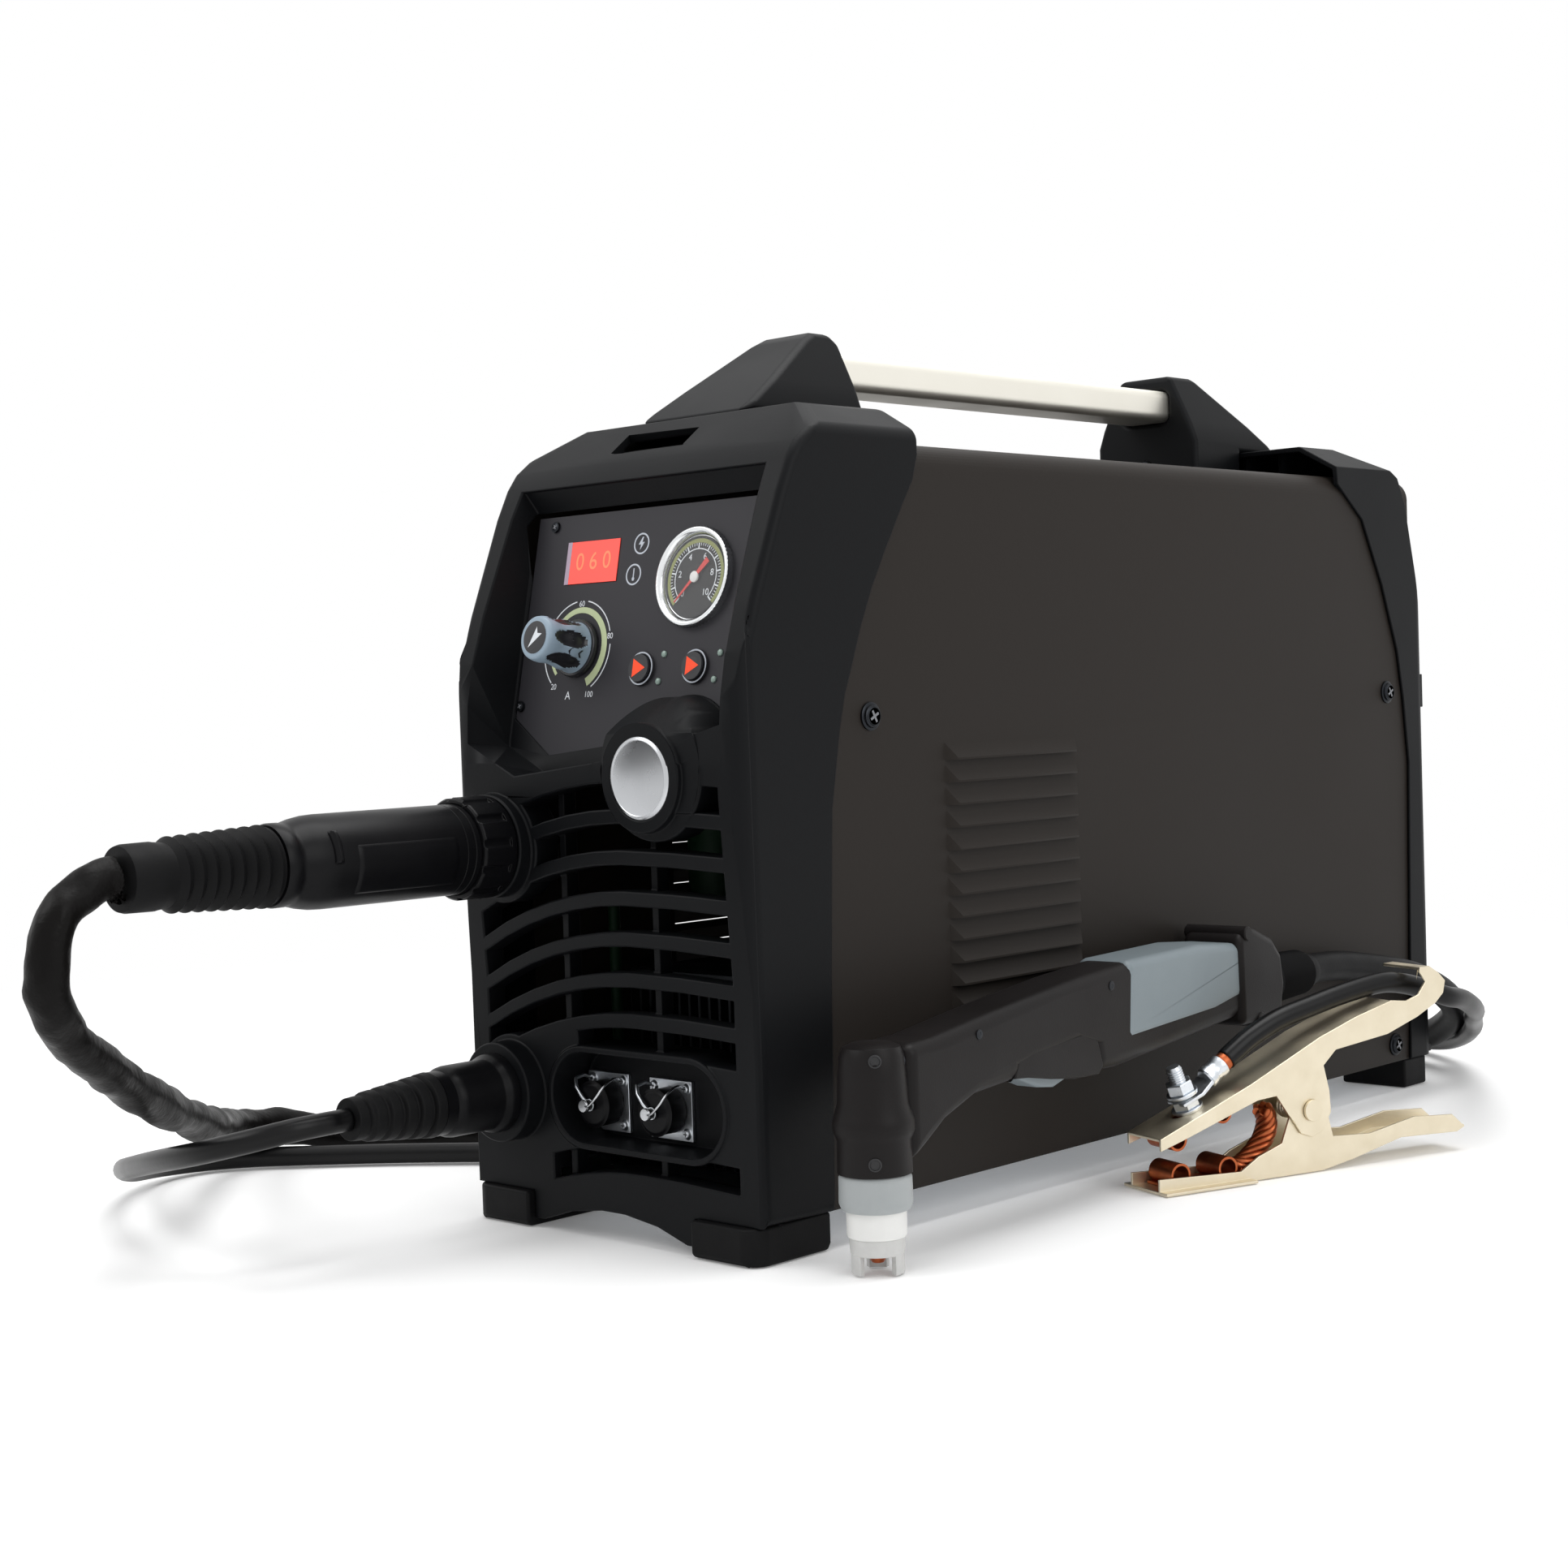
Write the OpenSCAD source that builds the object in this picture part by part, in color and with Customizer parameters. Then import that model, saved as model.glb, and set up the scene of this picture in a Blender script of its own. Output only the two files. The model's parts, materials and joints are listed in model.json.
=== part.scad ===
// Plasma cutter unit with its torch, earth clamp, leads and connectors.
// Front is -Y, up is +Z, millimetres. The floor is Z = 0 under the four feet.

/* [Case] */
// Width across the folded sheet cover
case_w = 192; // [180:1:210]
// Height of the cover top above the floor
cover_top = 367.5; // [355:0.5:380]
// Thickness of the folded sheet
sheet_t = 1.5; // [1:0.1:2.5]
// Outside radius of the cover's top folds
cover_r = 12; // [6:1:20]
// How far each moulded end stands proud of the cover
bezel_proud = 2; // [1:0.5:4]
// Wall thickness of the moulded ends
wall = 3; // [2:0.5:4]
// Height of the rubber feet
foot_h = 17.4; // [12:0.2:25]
// Front face distance from the middle of the case
front_y = 298; // [280:1:320]
// Rear face distance from the middle of the case
rear_y = 298; // [280:1:320]
// Height of the flat top of the moulded ends
hood_top = 385.5; // [375:0.5:400]
// Height of the moulded ends' side top edge
shoulder_z = 372; // [360:1:380]
// Half width of the flat top of the moulded ends
hood_half = 75; // [60:1:85]
// Corner radius of the moulded ends seen from above
corner_r = 12; // [6:1:20]

/* [Front grille] */
// Height of the highest slot's lower edge at the crown
grille_top = 201.8; // [190:0.2:210]
// Vertical pitch of the curved bars
bar_pitch = 18.9; // [16:0.1:22]
// Open height of each slot
slot_h = 12; // [8:0.5:14]
// Half width of the slotted field
slot_half = 84; // [70:1:88]
// Sideways place of the bars' crown
crown_x = 20; // [0:1:30]
// Bar curve radius to the left of the crown
bar_r_left = 225; // [180:5:400]
// Bar curve radius to the right of the crown
bar_r_right = 1000; // [400:20:2000]
// Depth of the grille bars
bar_depth = 12; // [8:1:16]

/* [Control panel] */
// Lean of the control panel from upright, degrees
panel_lean = 12; // [6:0.1:30]
// Thickness of the panel plate
plate_t = 2.5; // [1.5:0.5:4]
// Half width of the panel plate
plate_half = 80; // [74:1:84]
// Diameter of the pressure gauge rim
gauge_d = 48; // [40:1:56]
// Knob body radius at its foot
knob_r = 12.5; // [9:0.5:16]
// Knob height above the panel
knob_h = 28; // [18:1:34]
// Push button diameter
button_d = 13; // [10:0.5:16]
// Push button travel
button_travel = 0.8; // [0.4:0.1:1.5]

/* [Front connections] */
// Sideways place of both lead sockets
socket_x = -68; // [-75:1:-55]
// Height of the torch lead socket
torch_z = 183.5; // [170:0.5:195]
// Height of the earth lead socket
earth_z = 65; // [55:1:80]
// Ring nut diameter
nut_d = 49; // [44:1:56]
// Ring nut length
nut_len = 20; // [14:1:28]
// Torch connector body diameter
plug_d = 43; // [30:1:46]
// Length of the torch connector body ahead of the boss
plug_len = 116; // [90:1:130]
// Dust cap diameter on the small sockets
cap_d = 21.6; // [18:0.2:26]

/* [Leads] */
// Torch hose diameter
hose_d = 17; // [14:0.5:20]
// Leather sleeve diameter over the hose
sleeve_d = 20.5; // [18:0.5:24]
// Earth cable diameter
cable_d = 11; // [9:0.5:14]

/* [Torch] */
// Handle width
grip_w = 30; // [26:1:40]
// Head radius under the handle
head_r = 16; // [13:0.5:19]

/* [Earth clamp] */
// Outside width of the clamp's upper channel
clamp_w = 28; // [22:1:34]
// Clamp sheet thickness
clamp_t = 1.5; // [1:0.1:2.5]
// Rivet radius
rivet_r = 3.5; // [2.5:0.5:5]

/* [Handle] */
// Handle bar width
bar_w = 32; // [24:1:40]
// Handle bar height
bar_h = 18; // [12:1:24]
// Height of the handle brackets above the moulded ends' flat top
bracket_rise = 44.5; // [36:0.5:56]
// Drop from the brackets' top to the bar's middle
bar_drop = 17.6; // [14:0.2:24]

/* [Hidden] */
$fn = 48;
e = 0.01;
run_gap = 0.06;
free_gap = 0.3;
half_w = case_w / 2;
bezel_half = half_w + bezel_proud;
skirt_gap = 0.2;
panel_y = -274.9;
panel_z = 249.6;
bulge = 5;
bracket_top = hood_top + bracket_rise;
bar_z = bracket_top - bar_drop;

// ---------- placing helpers ----------
module along_x(x0, x1) translate([x0, 0, 0]) rotate([90, 0, 90]) linear_extrude(x1 - x0) children();
module along_y(y0, y1) translate([0, y1, 0]) rotate([90, 0, 0]) linear_extrude(y1 - y0) children();
module along_z(z0, z1) translate([0, 0, z0]) linear_extrude(z1 - z0) children();
module both_sides() {
  children();
  mirror([1, 0, 0]) children();
}
module to_front(x, y, z) translate([x, y, z]) rotate([90, 0, 0]) children();
module to_rear(x, y, z) translate([x, y, z]) rotate([-90, 0, 0]) children();
module on_panel(x = 0, w = 0, n = 0)
  translate([0, panel_y, panel_z]) rotate([90 - panel_lean, 0, 0]) translate([x, w, n]) children();
module rounded_square(w, h, r) {
  translate([-w / 2, -h / 2 + r]) square([w, h - 2 * r]);
  translate([-w / 2 + r, -h / 2]) square([w - 2 * r, h]);
  for (sx = [-1, 1], sy = [-1, 1]) translate([sx * (w / 2 - r), sy * (h / 2 - r)]) circle(r, $fn = 32);
}
module obround(cx, cz, w, h) {
  translate([cx - w / 2 + h / 2, cz - h / 2]) square([w - h, h]);
  for (s = [-1, 1]) translate([cx + s * (w - h) / 2, cz]) circle(h / 2);
}
module ring2(r_out, r_in) difference() {
  circle(r_out);
  circle(r_in);
}

// ---------- front moulding ----------
front_side = [[-front_y + 1, 4], [-front_y + 1, 120], [-front_y - 4.5, 207], [-front_y - bulge, 223],
  [-front_y - bulge + 2, 251], [-297, 271], [-289.5, 294], [-280, 318], [-270.5, 342], [-263, 357],
  [-257, 365], [-230, hood_top], [-176, hood_top], [-176, 361], [-180, 349],
  [-188, 337], [-201, 316], [-211, 299], [-220, 280], [-227, 262], [-232, 250], [-236, 235],
  [-243, 198], [-247, 124], [-250, foot_h], [-250, 4]];
end_outline = concat([[bezel_half, foot_h], [bezel_half, shoulder_z], [hood_half, hood_top],
  [-hood_half, hood_top], [-bezel_half, shoulder_z], [-bezel_half, foot_h]]);
back_gap = (plate_t + 2.5) / cos(panel_lean);
function panel_at(z) = panel_y + tan(panel_lean) * (z - panel_z);
front_inner = [[-front_y + bar_depth, -1], [-front_y + bar_depth, 211], [panel_at(215) + back_gap, 215],
  [panel_at(346) + back_gap, 346],
  [-250, 354], [-254, 361.5], [-228.5, 381.8], [-179, 382.5], [-179, cover_top + skirt_gap],
  [-100, cover_top + skirt_gap], [-100, -1]];
inner_outline = [[bezel_half - wall, -1], [bezel_half - wall, shoulder_z - 1.5],
  [hood_half - 1, hood_top - wall], [-hood_half + 1, hood_top - wall],
  [-bezel_half + wall, shoulder_z - 1.5], [-bezel_half + wall, -1]];
pocket_side = [[panel_at(210), 210], [panel_at(343.4), 343.4], [-262, 355], [-330, 350], [-330, 210]];
pocket_half = plate_half + 9;
pocket_front = [[-pocket_half, 234], [-52, 217], [13, 224], [46, 229], [pocket_half, 240], [pocket_half - 5, 400],
  [-pocket_half, 400]];
hump_x = 42;
hump_z = 220;
hump_r = 32;
hump_side = [[-front_y - bulge, 200], [-front_y - bulge, 236], [-290, 252.5], [-270, 252.5], [-270, 200]];
plate_outline = [[-plate_half, 94.4], [plate_half, 94.4], [plate_half, -10], [28, -15], [8, -17.6],
  [-16, -20.8], [-52, -24.5], [4 - plate_half, -8.6], [-plate_half, -6]];

function bar_edge(x) = x > crown_x
  ? -bar_r_right + sqrt(bar_r_right * bar_r_right - (x - crown_x) * (x - crown_x))
  : -bar_r_left + sqrt(bar_r_left * bar_r_left - (x - crown_x) * (x - crown_x));
module slot_shape(z, x0, x1) {
  steps = 10;
  dx = (x1 - x0) / steps;
  low = [for (i = [0:steps]) [x0 + i * dx, z + bar_edge(x0 + i * dx)]];
  high = [for (i = [steps:-1:0]) [x0 + i * dx, z + slot_h + bar_edge(x0 + i * dx)]];
  polygon(concat(low, high));
}
module grille_shape() difference() {
  union() {
    for (i = [0:5]) slot_shape(grille_top - i * bar_pitch, -slot_half, slot_half);
    slot_shape(grille_top - 6 * bar_pitch, -20, slot_half);
    slot_shape(33, -40, slot_half);
  }
  translate([socket_x, torch_z]) circle(28);
  translate([socket_x, earth_z]) circle(27);
  translate([badge_x, badge_z]) circle(27);
  translate([hump_x, hump_z]) circle(hump_r + 1);
}
badge_x = 38;
badge_z = 216;
boss_y = -308;
tub_x = 18.5;
tub_z = 65.5;
tub_floor = -275;
module front_shell() difference() {
  intersection() {
    along_x(-bezel_half, bezel_half) polygon(front_side);
    along_y(-310, -100) difference() {
      union() {
        polygon(end_outline);
        translate([-55, 4]) square([110, foot_h]);
      }
      polygon([[-49, 0], [-49, 4], [-30, 10], [-8, 13], [8, 13], [30, 10], [49, 4], [49, 0]]);
    }
    translate([0, 100 - front_y - bulge, 0]) along_z(0, 500) rounded_square(2 * bezel_half, 200, corner_r);
  }
  intersection() {
    along_x(-bezel_half, bezel_half) polygon(front_inner);
    along_y(-310, -90) polygon(inner_outline);
  }
  intersection() {
    along_y(-262, -90) translate([0, cover_top / 2]) rounded_square(case_w + 2 * skirt_gap,
      cover_top + 2 * skirt_gap, cover_r + skirt_gap);
    along_x(-half_w - 1, half_w + 1) polygon([[-263, -1], [-263, 337], [-232, cover_top + skirt_gap + 1],
      [-89, cover_top + skirt_gap + 1], [-89, -1]]);
  }
  along_y(-262, -90) translate([-half_w - skirt_gap, -1]) square([case_w + 2 * skirt_gap, 60]);
  along_y(-292, -90) translate([-54, -1]) square([108, 30]);
  along_x(-33, 17) polygon([[-252.2, 372.2], [-239.7, 381.5], [-235.5, 375.9], [-248, 366.6]]);
  intersection() {
    along_x(-pocket_half - 0.5, pocket_half + 0.5) polygon(pocket_side);
    along_y(-330, -200) polygon(pocket_front);
    on_panel(0, -60, 0) rotate([-90, 0, 0]) mirror([0, 0, 1])
      translate([0, 0, -260]) linear_extrude(300)
      polygon([[-plate_half - 1, -1], [plate_half + 1, -1], [pocket_half + 0.5, -40], [-pocket_half - 0.5, -40]]);
  }
}
module front_bezel() color([0.12, 0.12, 0.13]) difference() {
  union() {
    difference() {
      front_shell();
      along_y(-front_y - bulge - 1, -front_y + bar_depth + 1) grille_shape();
    }
    intersection() {
      along_y(-front_y - bulge, -270) translate([hump_x, hump_z]) circle(hump_r);
      along_x(hump_x - hump_r, hump_x + hump_r) polygon(hump_side);
    }
    for (s = [-31, 31]) along_y(-292, -284) translate([s - 2, 22]) square([4, 195]);
    along_y(-front_y, tub_floor + wall) obround(tub_x, tub_z, 114 + 2 * wall, 43 + 2 * wall);
    along_y(boss_y, -front_y + bar_depth) translate([socket_x, torch_z]) circle(25);
    along_y(boss_y, -front_y + bar_depth) translate([socket_x, earth_z]) circle(24);
    along_y(-306, -front_y + bar_depth) translate([badge_x, badge_z]) circle(25);
    both_sides() {
      along_y(-290, -258) translate([half_w - 5, 230]) square([6, 20]);
      along_y(-262, -206) translate([half_w - 6, 230]) square([6 - sheet_t, 20]);
      along_y(-290, -262) translate([half_w - 8, foot_h + sheet_t]) square([8, 5]);
    }
  }
  along_y(-front_y - 1, tub_floor) obround(tub_x, tub_z, 114, 43);
  for (x = port_x) to_front(x, tub_floor + wall + 1, port_z) cylinder(r = 9, h = wall + 2);
  to_front(socket_x, -280, torch_z) cylinder(r = 14, h = 40);
  to_front(socket_x, -280, earth_z) cylinder(r = 11, h = 40);
  to_front(badge_x, -304, badge_z) cylinder(d = badge_d, h = 5);
  on_panel(0, 0, -plate_t) linear_extrude(plate_t + 10) difference() {
    polygon(plate_outline);
    translate([hump_x, panel_notch]) circle(hump_r);
  }
  on_panel(gauge_x, gauge_w, -20) cylinder(d = gauge_body, h = 25);
  on_panel(knob_x, knob_w, -20) cylinder(r = shaft_r + free_gap, h = 25);
  on_panel(display_x, display_w, -20) translate([-display_l / 2, -display_h / 2, 0])
    cube([display_l, display_h, 25]);
  for (x = button_x) on_panel(x, button_w, -20) cylinder(d = button_d - 2, h = 25);
  both_sides() along_x(half_w - 16, half_w + 4) translate([screw_y[0], screw_z[1]]) circle(r = screw_r, $fn = 24);
}
port_x = [-21.5, 21];
port_z = 60.5;
badge_d = 38;
panel_notch = -29;
gauge_x = 36;
gauge_w = 58.3;
gauge_body = 41;
knob_x = -40;
knob_w = 27.5;
shaft_r = 3;
display_x = -37.5;
display_w = 70.2;
display_l = 37;
display_h = 21;
button_x = [7, 42.5];
button_w = 16.2;
screw_y = [-213.5, 254];
screw_z = [28, 240];
screw_r = 2.5;

// ---------- rear moulding ----------
rear_side = [[rear_y - 1, foot_h], [rear_y - 1, 76], [rear_y, 166], [rear_y + 2, 215],
  [rear_y + 2, 245], [rear_y - 1, 280], [288, 314], [278, 353], [270, 368], [235, hood_top],
  [198, hood_top], [201, 362], [228, 342], [249, 304], [265, 265], [271, 236], [276, 197],
  [272, 78], [270, foot_h]];
rear_inner = [[rear_y - 4, -1], [rear_y - 4, 250], [284, 313], [274, 351], [266, 366],
  [234, hood_top - wall], [190, hood_top - wall], [190, cover_top + skirt_gap],
  [100, cover_top + skirt_gap], [100, -1]];
fan_x = 0;
fan_z = 150;
module rear_bezel() color([0.12, 0.12, 0.13]) difference() {
  union() {
    difference() {
      intersection() {
        along_x(-bezel_half, bezel_half) polygon(rear_side);
        along_y(90, 310) polygon(end_outline);
        translate([0, rear_y - 98, 0]) along_z(0, 500) rounded_square(2 * bezel_half, 200, corner_r);
      }
      intersection() {
        along_x(-bezel_half, bezel_half) polygon(rear_inner);
        along_y(90, 310) polygon(inner_outline);
      }
      along_y(90, 288) translate([0, cover_top / 2]) rounded_square(case_w + 2 * skirt_gap,
        cover_top + 2 * skirt_gap, cover_r + skirt_gap);
      along_y(90, 288) translate([-half_w - skirt_gap, -1]) square([case_w + 2 * skirt_gap, 60]);
      along_y(290, 305) translate([fan_x, fan_z]) for (i = [0:4]) difference() {
        ring2(10 + 10.5 * i, 2.5 + 10.5 * i);
        for (a = [0, 60, 120]) rotate(a) square([130, 4], center = true);
      }
    }
    for (x = [-60, -36, -12, 12, 36, 60]) along_x(x - 1, x + 1)
      polygon([[200, cover_top + skirt_gap], [200, 384], [236, 384], [262, 368], [262, cover_top + skirt_gap]]);
    both_sides() {
      along_y(238, 292) translate([half_w - post_in, 230]) square([post_in - sheet_t, 20]);
      along_y(286, 296) translate([half_w - post_in - 2, 230]) square([post_in + 3, 20]);
      along_y(286, 296) translate([half_w - post_in - 2, foot_h + sheet_t]) square([post_in + 3, 5]);
    }
  }
  both_sides() along_x(half_w - 16, half_w + 4) translate([screw_y[1], screw_z[1]]) circle(r = screw_r, $fn = 24);
  along_y(280, 310) translate([-45, 262]) square([22, 30], center = true);
  to_rear(40, 280, 262) cylinder(r = inlet_r + 2, h = 30);
  to_rear(40, 280, 50) cylinder(r = gland_r, h = 30);
}
inlet_r = 5.72;
post_in = 6;
gland_r = 9;

// ---------- sheet metal ----------
cover_y0 = -256;
cover_y1 = 284;
louvre_pitch = 10.8;
louvre_top = 226;
louvre_out = 4.5;
louvre_t = 1;
module cover_shape(w, top, r) {
  translate([-w / 2, foot_h]) square([w, top - r - foot_h]);
  translate([-w / 2 + r, top - r - 1]) square([w - 2 * r, r + 1]);
  for (s = [-1, 1]) translate([s * (w / 2 - r), top - r]) circle(r);
}
module louvre(y, z) {
  difference() {
    intersection() {
      along_y(y - 53, y + 53) polygon([[half_w - sheet_t / 2, z], [half_w, z],
        [half_w + louvre_out, z - 7.5], [half_w + louvre_out, z - 8.5], [half_w - sheet_t / 2, z - 8.5]]);
      along_z(z - 12, z + 1) polygon([[half_w - 1, y - 53], [half_w + louvre_out, y - 47],
        [half_w + louvre_out, y + 47], [half_w - 1, y + 53]]);
    }
    intersection() {
      along_y(y - 53, y + 53) polygon([[half_w - 2, z - 1.4], [half_w, z - 1.4],
        [half_w + louvre_out - louvre_t, z - 8], [half_w + louvre_out - louvre_t, z - 9], [half_w - 2, z - 9]]);
      along_z(z - 12, z + 1) polygon([[half_w - 2, y - 50.5], [half_w + louvre_out - louvre_t, y - 45.8],
        [half_w + louvre_out - louvre_t, y + 45.8], [half_w - 2, y + 50.5]]);
    }
  }
}
module cover() color([0.2, 0.19, 0.18]) {
  difference() {
    along_y(cover_y0, cover_y1) difference() {
      cover_shape(case_w, cover_top, cover_r);
      translate([0, -e]) cover_shape(case_w - 2 * sheet_t, cover_top - sheet_t, cover_r - sheet_t);
    }
    for (i = [0:11]) both_sides() along_x(half_w - sheet_t - 1, half_w + 1)
      translate([louvre_y - 50, louvre_top - i * louvre_pitch - 8.5]) square([100, 7.1]);
    for (y = screw_y, z = screw_z) both_sides() along_x(half_w - 3, half_w + 1)
      translate([y, z]) circle(r = screw_r, $fn = 24);
    along_x(-half_w - 1, half_w + 1) polygon([[cover_y0 - 1, 339], [cover_y0 - 1, cover_top + 1],
      [-228, cover_top + 1]]);
  }
  for (i = [0:11]) both_sides() louvre(louvre_y, louvre_top - i * louvre_pitch);
}
louvre_y = -109;
base_half = half_w - sheet_t;
module base_plate() color([0.55, 0.56, 0.57]) difference() {
  union() {
    translate([-base_half, -284, foot_h]) cube([2 * base_half, 568, sheet_t]);
    both_sides() translate([base_half - sheet_t, -256, foot_h]) cube([sheet_t, 540, 22]);
  }
  for (x = [-foot_x, foot_x], y = [-foot_y, foot_y]) translate([x, y, 0]) cylinder(r = foot_hole, h = 30);
  for (y = screw_y) both_sides() along_x(half_w - 16, half_w + 4) translate([y, screw_z[0]]) circle(r = screw_r, $fn = 24);
}
foot_x = half_w - 18;
foot_y = 277;
foot_hole = 3.25;
module feet() color([0.1, 0.1, 0.1]) difference() {
  both_sides() {
    intersection() {
      along_x(half_w - 40.5, half_w) polygon([[-301, 2], [-299, 0], [-253, 0], [-251, 3], [-251, foot_h],
        [-284, foot_h], [-284, foot_h - 0.2], [-301, foot_h - 0.2]]);
      translate([0, -201, -1]) linear_extrude(foot_h + 2) rounded_square(case_w, 200, 10);
    }
    translate([half_w - 43, 265, 0]) cube([43, 26, foot_h]);
  }
  for (x = [-foot_x, foot_x], y = [-foot_y, foot_y]) translate([x, y, -1]) cylinder(r = foot_hole, h = 30);
}
module case_screw() rotate([0, 90, 0]) {
  cylinder(r = 6, h = 0.8, $fn = 32);
  translate([0, 0, 0.8]) cylinder(r1 = 5.5, r2 = 4.2, h = 2.2, $fn = 32);
  translate([0, 0, -8]) cylinder(r = screw_r, h = 9, $fn = 24);
}
module case_screws() color([0.4, 0.42, 0.45]) {
  for (y = screw_y, z = screw_z) both_sides() translate([half_w, y, z]) case_screw();
  for (p = panel_screws) on_panel(p[0], p[1], 0) {
    cylinder(r = 2.6, h = 1.2, $fn = 24);
    translate([0, 0, -plate_t]) cylinder(r = 1.4, h = plate_t + 1, $fn = 24);
  }
  to_front(0, 150, 377) cylinder(r = 4, h = 2, $fn = 24);
}

// ---------- control panel ----------
module control_panel() color([0.17, 0.16, 0.18]) {
  difference() {
    on_panel(0, 0, -plate_t) linear_extrude(plate_t) difference() {
      polygon(plate_outline);
      translate([hump_x, panel_notch]) circle(hump_r);
      translate([gauge_x, gauge_w]) circle(d = gauge_body);
      translate([knob_x, knob_w]) circle(r = shaft_r + free_gap);
      translate([display_x, display_w]) square([display_l, display_h], center = true);
      for (x = button_x) translate([x, button_w]) circle(d = button_d - 2);
      for (p = panel_screws) translate(p) circle(r = 1.4, $fn = 24);
      for (p = led_at) translate(p) circle(r = led_r, $fn = 24);
    }
  }
  for (x = button_x) on_panel(x, button_w, 0) linear_extrude(1.6) ring2(button_d / 2 + 1.6, button_d / 2 + run_gap);
}
led_at = [[20.5, 22.8], [18.5, 10], [57.3, 22.2], [55, 9.9]];
panel_screws = [[-67, 89.2], [75, 89.2], [3 - plate_half, 0], [plate_half - 3, 0]];
led_r = 1.5;
module display_window() color([0.8, 0.25, 0.22]) {
  on_panel(display_x, display_w, -6) translate([-display_l / 2, -display_h / 2, 0])
    cube([display_l, display_h, 6.4]);
  for (p = led_at) on_panel(p[0], p[1], -plate_t) cylinder(r = led_r, h = plate_t + 0.8, $fn = 24);
}
module current_knob() color([0.55, 0.6, 0.64]) on_panel(knob_x, knob_w, 0) {
  translate([0, 0, -12]) cylinder(r = shaft_r, h = 14, $fn = 32);
  translate([0, 0, free_gap]) cylinder(r = knob_r + 1.8, h = 3);
  difference() {
    translate([0, 0, 3]) cylinder(r1 = knob_r, r2 = knob_r - 2, h = knob_h - 3);
    for (a = [0:60:300]) rotate(a + 30) translate([knob_r + 1.2, 0, 8]) cylinder(r = 3, h = knob_h, $fn = 24);
    translate([0, 0, knob_h - 0.6]) cylinder(r = knob_r - 4, h = 2);
  }
}
module push_button() {
  translate([0, 0, free_gap + button_travel]) cylinder(d = button_d, h = 2.2);
  translate([0, 0, -6]) cylinder(d = button_d - 3, h = 8);
}
module button_mode() color([0.15, 0.15, 0.16]) on_panel(button_x[0], button_w, 0) push_button();
module button_gas() color([0.15, 0.15, 0.16]) on_panel(button_x[1], button_w, 0) push_button();
module gauge_case() color([0.75, 0.76, 0.78]) on_panel(gauge_x, gauge_w, 0) {
  difference() {
    union() {
      cylinder(d = gauge_d, h = 4, $fn = 64);
      translate([0, 0, -26]) cylinder(d = gauge_body, h = 27, $fn = 64);
    }
    translate([0, 0, 0.5]) cylinder(d = gauge_body - 1, h = 4, $fn = 64);
  }
  cylinder(r = 1, h = 1, $fn = 24);
  translate([0, 0, -36]) cylinder(r = 6, h = 11, $fn = 32);
}
module gauge_needle() color([0.8, 0.1, 0.08]) on_panel(gauge_x, gauge_w, 0) {
  difference() {
    translate([0, 0, 1.3]) cylinder(r = 2.6, h = 0.9, $fn = 32);
    cylinder(r = 1 + run_gap, h = 1.6, $fn = 24);
  }
  rotate(225) translate([-5, -0.6, 1.5]) cube([22, 1.2, 0.5]);
}
module gauge_glass() color([0.8, 0.85, 0.9, 0.4])
  on_panel(gauge_x, gauge_w, 2.6) cylinder(d = gauge_body - 1, h = 1, $fn = 64);
module badge() color([0.8, 0.81, 0.82]) to_front(badge_x, -304, badge_z) {
  cylinder(d = badge_d, h = 2, $fn = 64);
  translate([0, 0, 2]) cylinder(d1 = badge_d, d2 = badge_d - 4, h = 0.8, $fn = 64);
}

// ---------- carry handle ----------
module handle_bar() color([0.78, 0.79, 0.8])
  along_y(-146, 162) translate([0, bar_z]) rounded_square(bar_w, bar_h, 5);
bracket_cross = [[17.5, bracket_top], [31, 402], [35, 391], [35, cover_top], [-35, cover_top],
  [-35, 391], [-31, 402], [-17.5, bracket_top]];
module front_bracket() color([0.12, 0.12, 0.13]) difference() {
  intersection() {
    along_x(-40, 40) polygon([[-229, hood_top], [-166, bracket_top - 4], [-158, bracket_top],
      [-146, bracket_top], [-141, bracket_top - 5], [-141, cover_top], [-176, cover_top], [-176, hood_top]]);
    along_y(-240, -130) polygon(bracket_cross);
  }
  along_y(-146, -140) translate([0, bar_z]) rounded_square(bar_w, bar_h, 5);
}
module rear_bracket() color([0.12, 0.12, 0.13]) difference() {
  intersection() {
    along_x(-40, 40) polygon([[150, cover_top], [150, bracket_top], [173, bracket_top], [177, bracket_top - 1.5],
      [238, hood_top], [198, hood_top], [198, cover_top]]);
    along_y(140, 240) polygon(bracket_cross);
  }
  along_y(149, 162) translate([0, bar_z]) rounded_square(bar_w, bar_h, 5);
  to_front(0, 160, 377) cylinder(r = 2, h = 12, $fn = 24);
}

// ---------- torch lead connector ----------
nut_y = boss_y - free_gap;
plug_r = plug_d / 2;
plug_y = boss_y - plug_len;
module torch_socket() color([0.7, 0.6, 0.35]) to_front(socket_x, -286, torch_z) {
  cylinder(r = 14, h = 34);
  translate([0, 0, -4]) cylinder(r = 18, h = 4);
}
module ring_nut() color([0.12, 0.12, 0.13]) to_front(socket_x, nut_y, torch_z) difference() {
  rotate_extrude($fn = 64) polygon([[plug_r + run_gap, 0], [nut_d / 2 - 1, 0], [nut_d / 2, 1.5],
    [nut_d / 2, nut_len - 1.5], [nut_d / 2 - 1, nut_len], [plug_r + run_gap, nut_len]]);
  for (a = [0:30:330]) rotate(a + 7) translate([nut_d / 2 + 1.2, 0, 4]) cylinder(r = 2.6, h = nut_len, $fn = 24);
}
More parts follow.
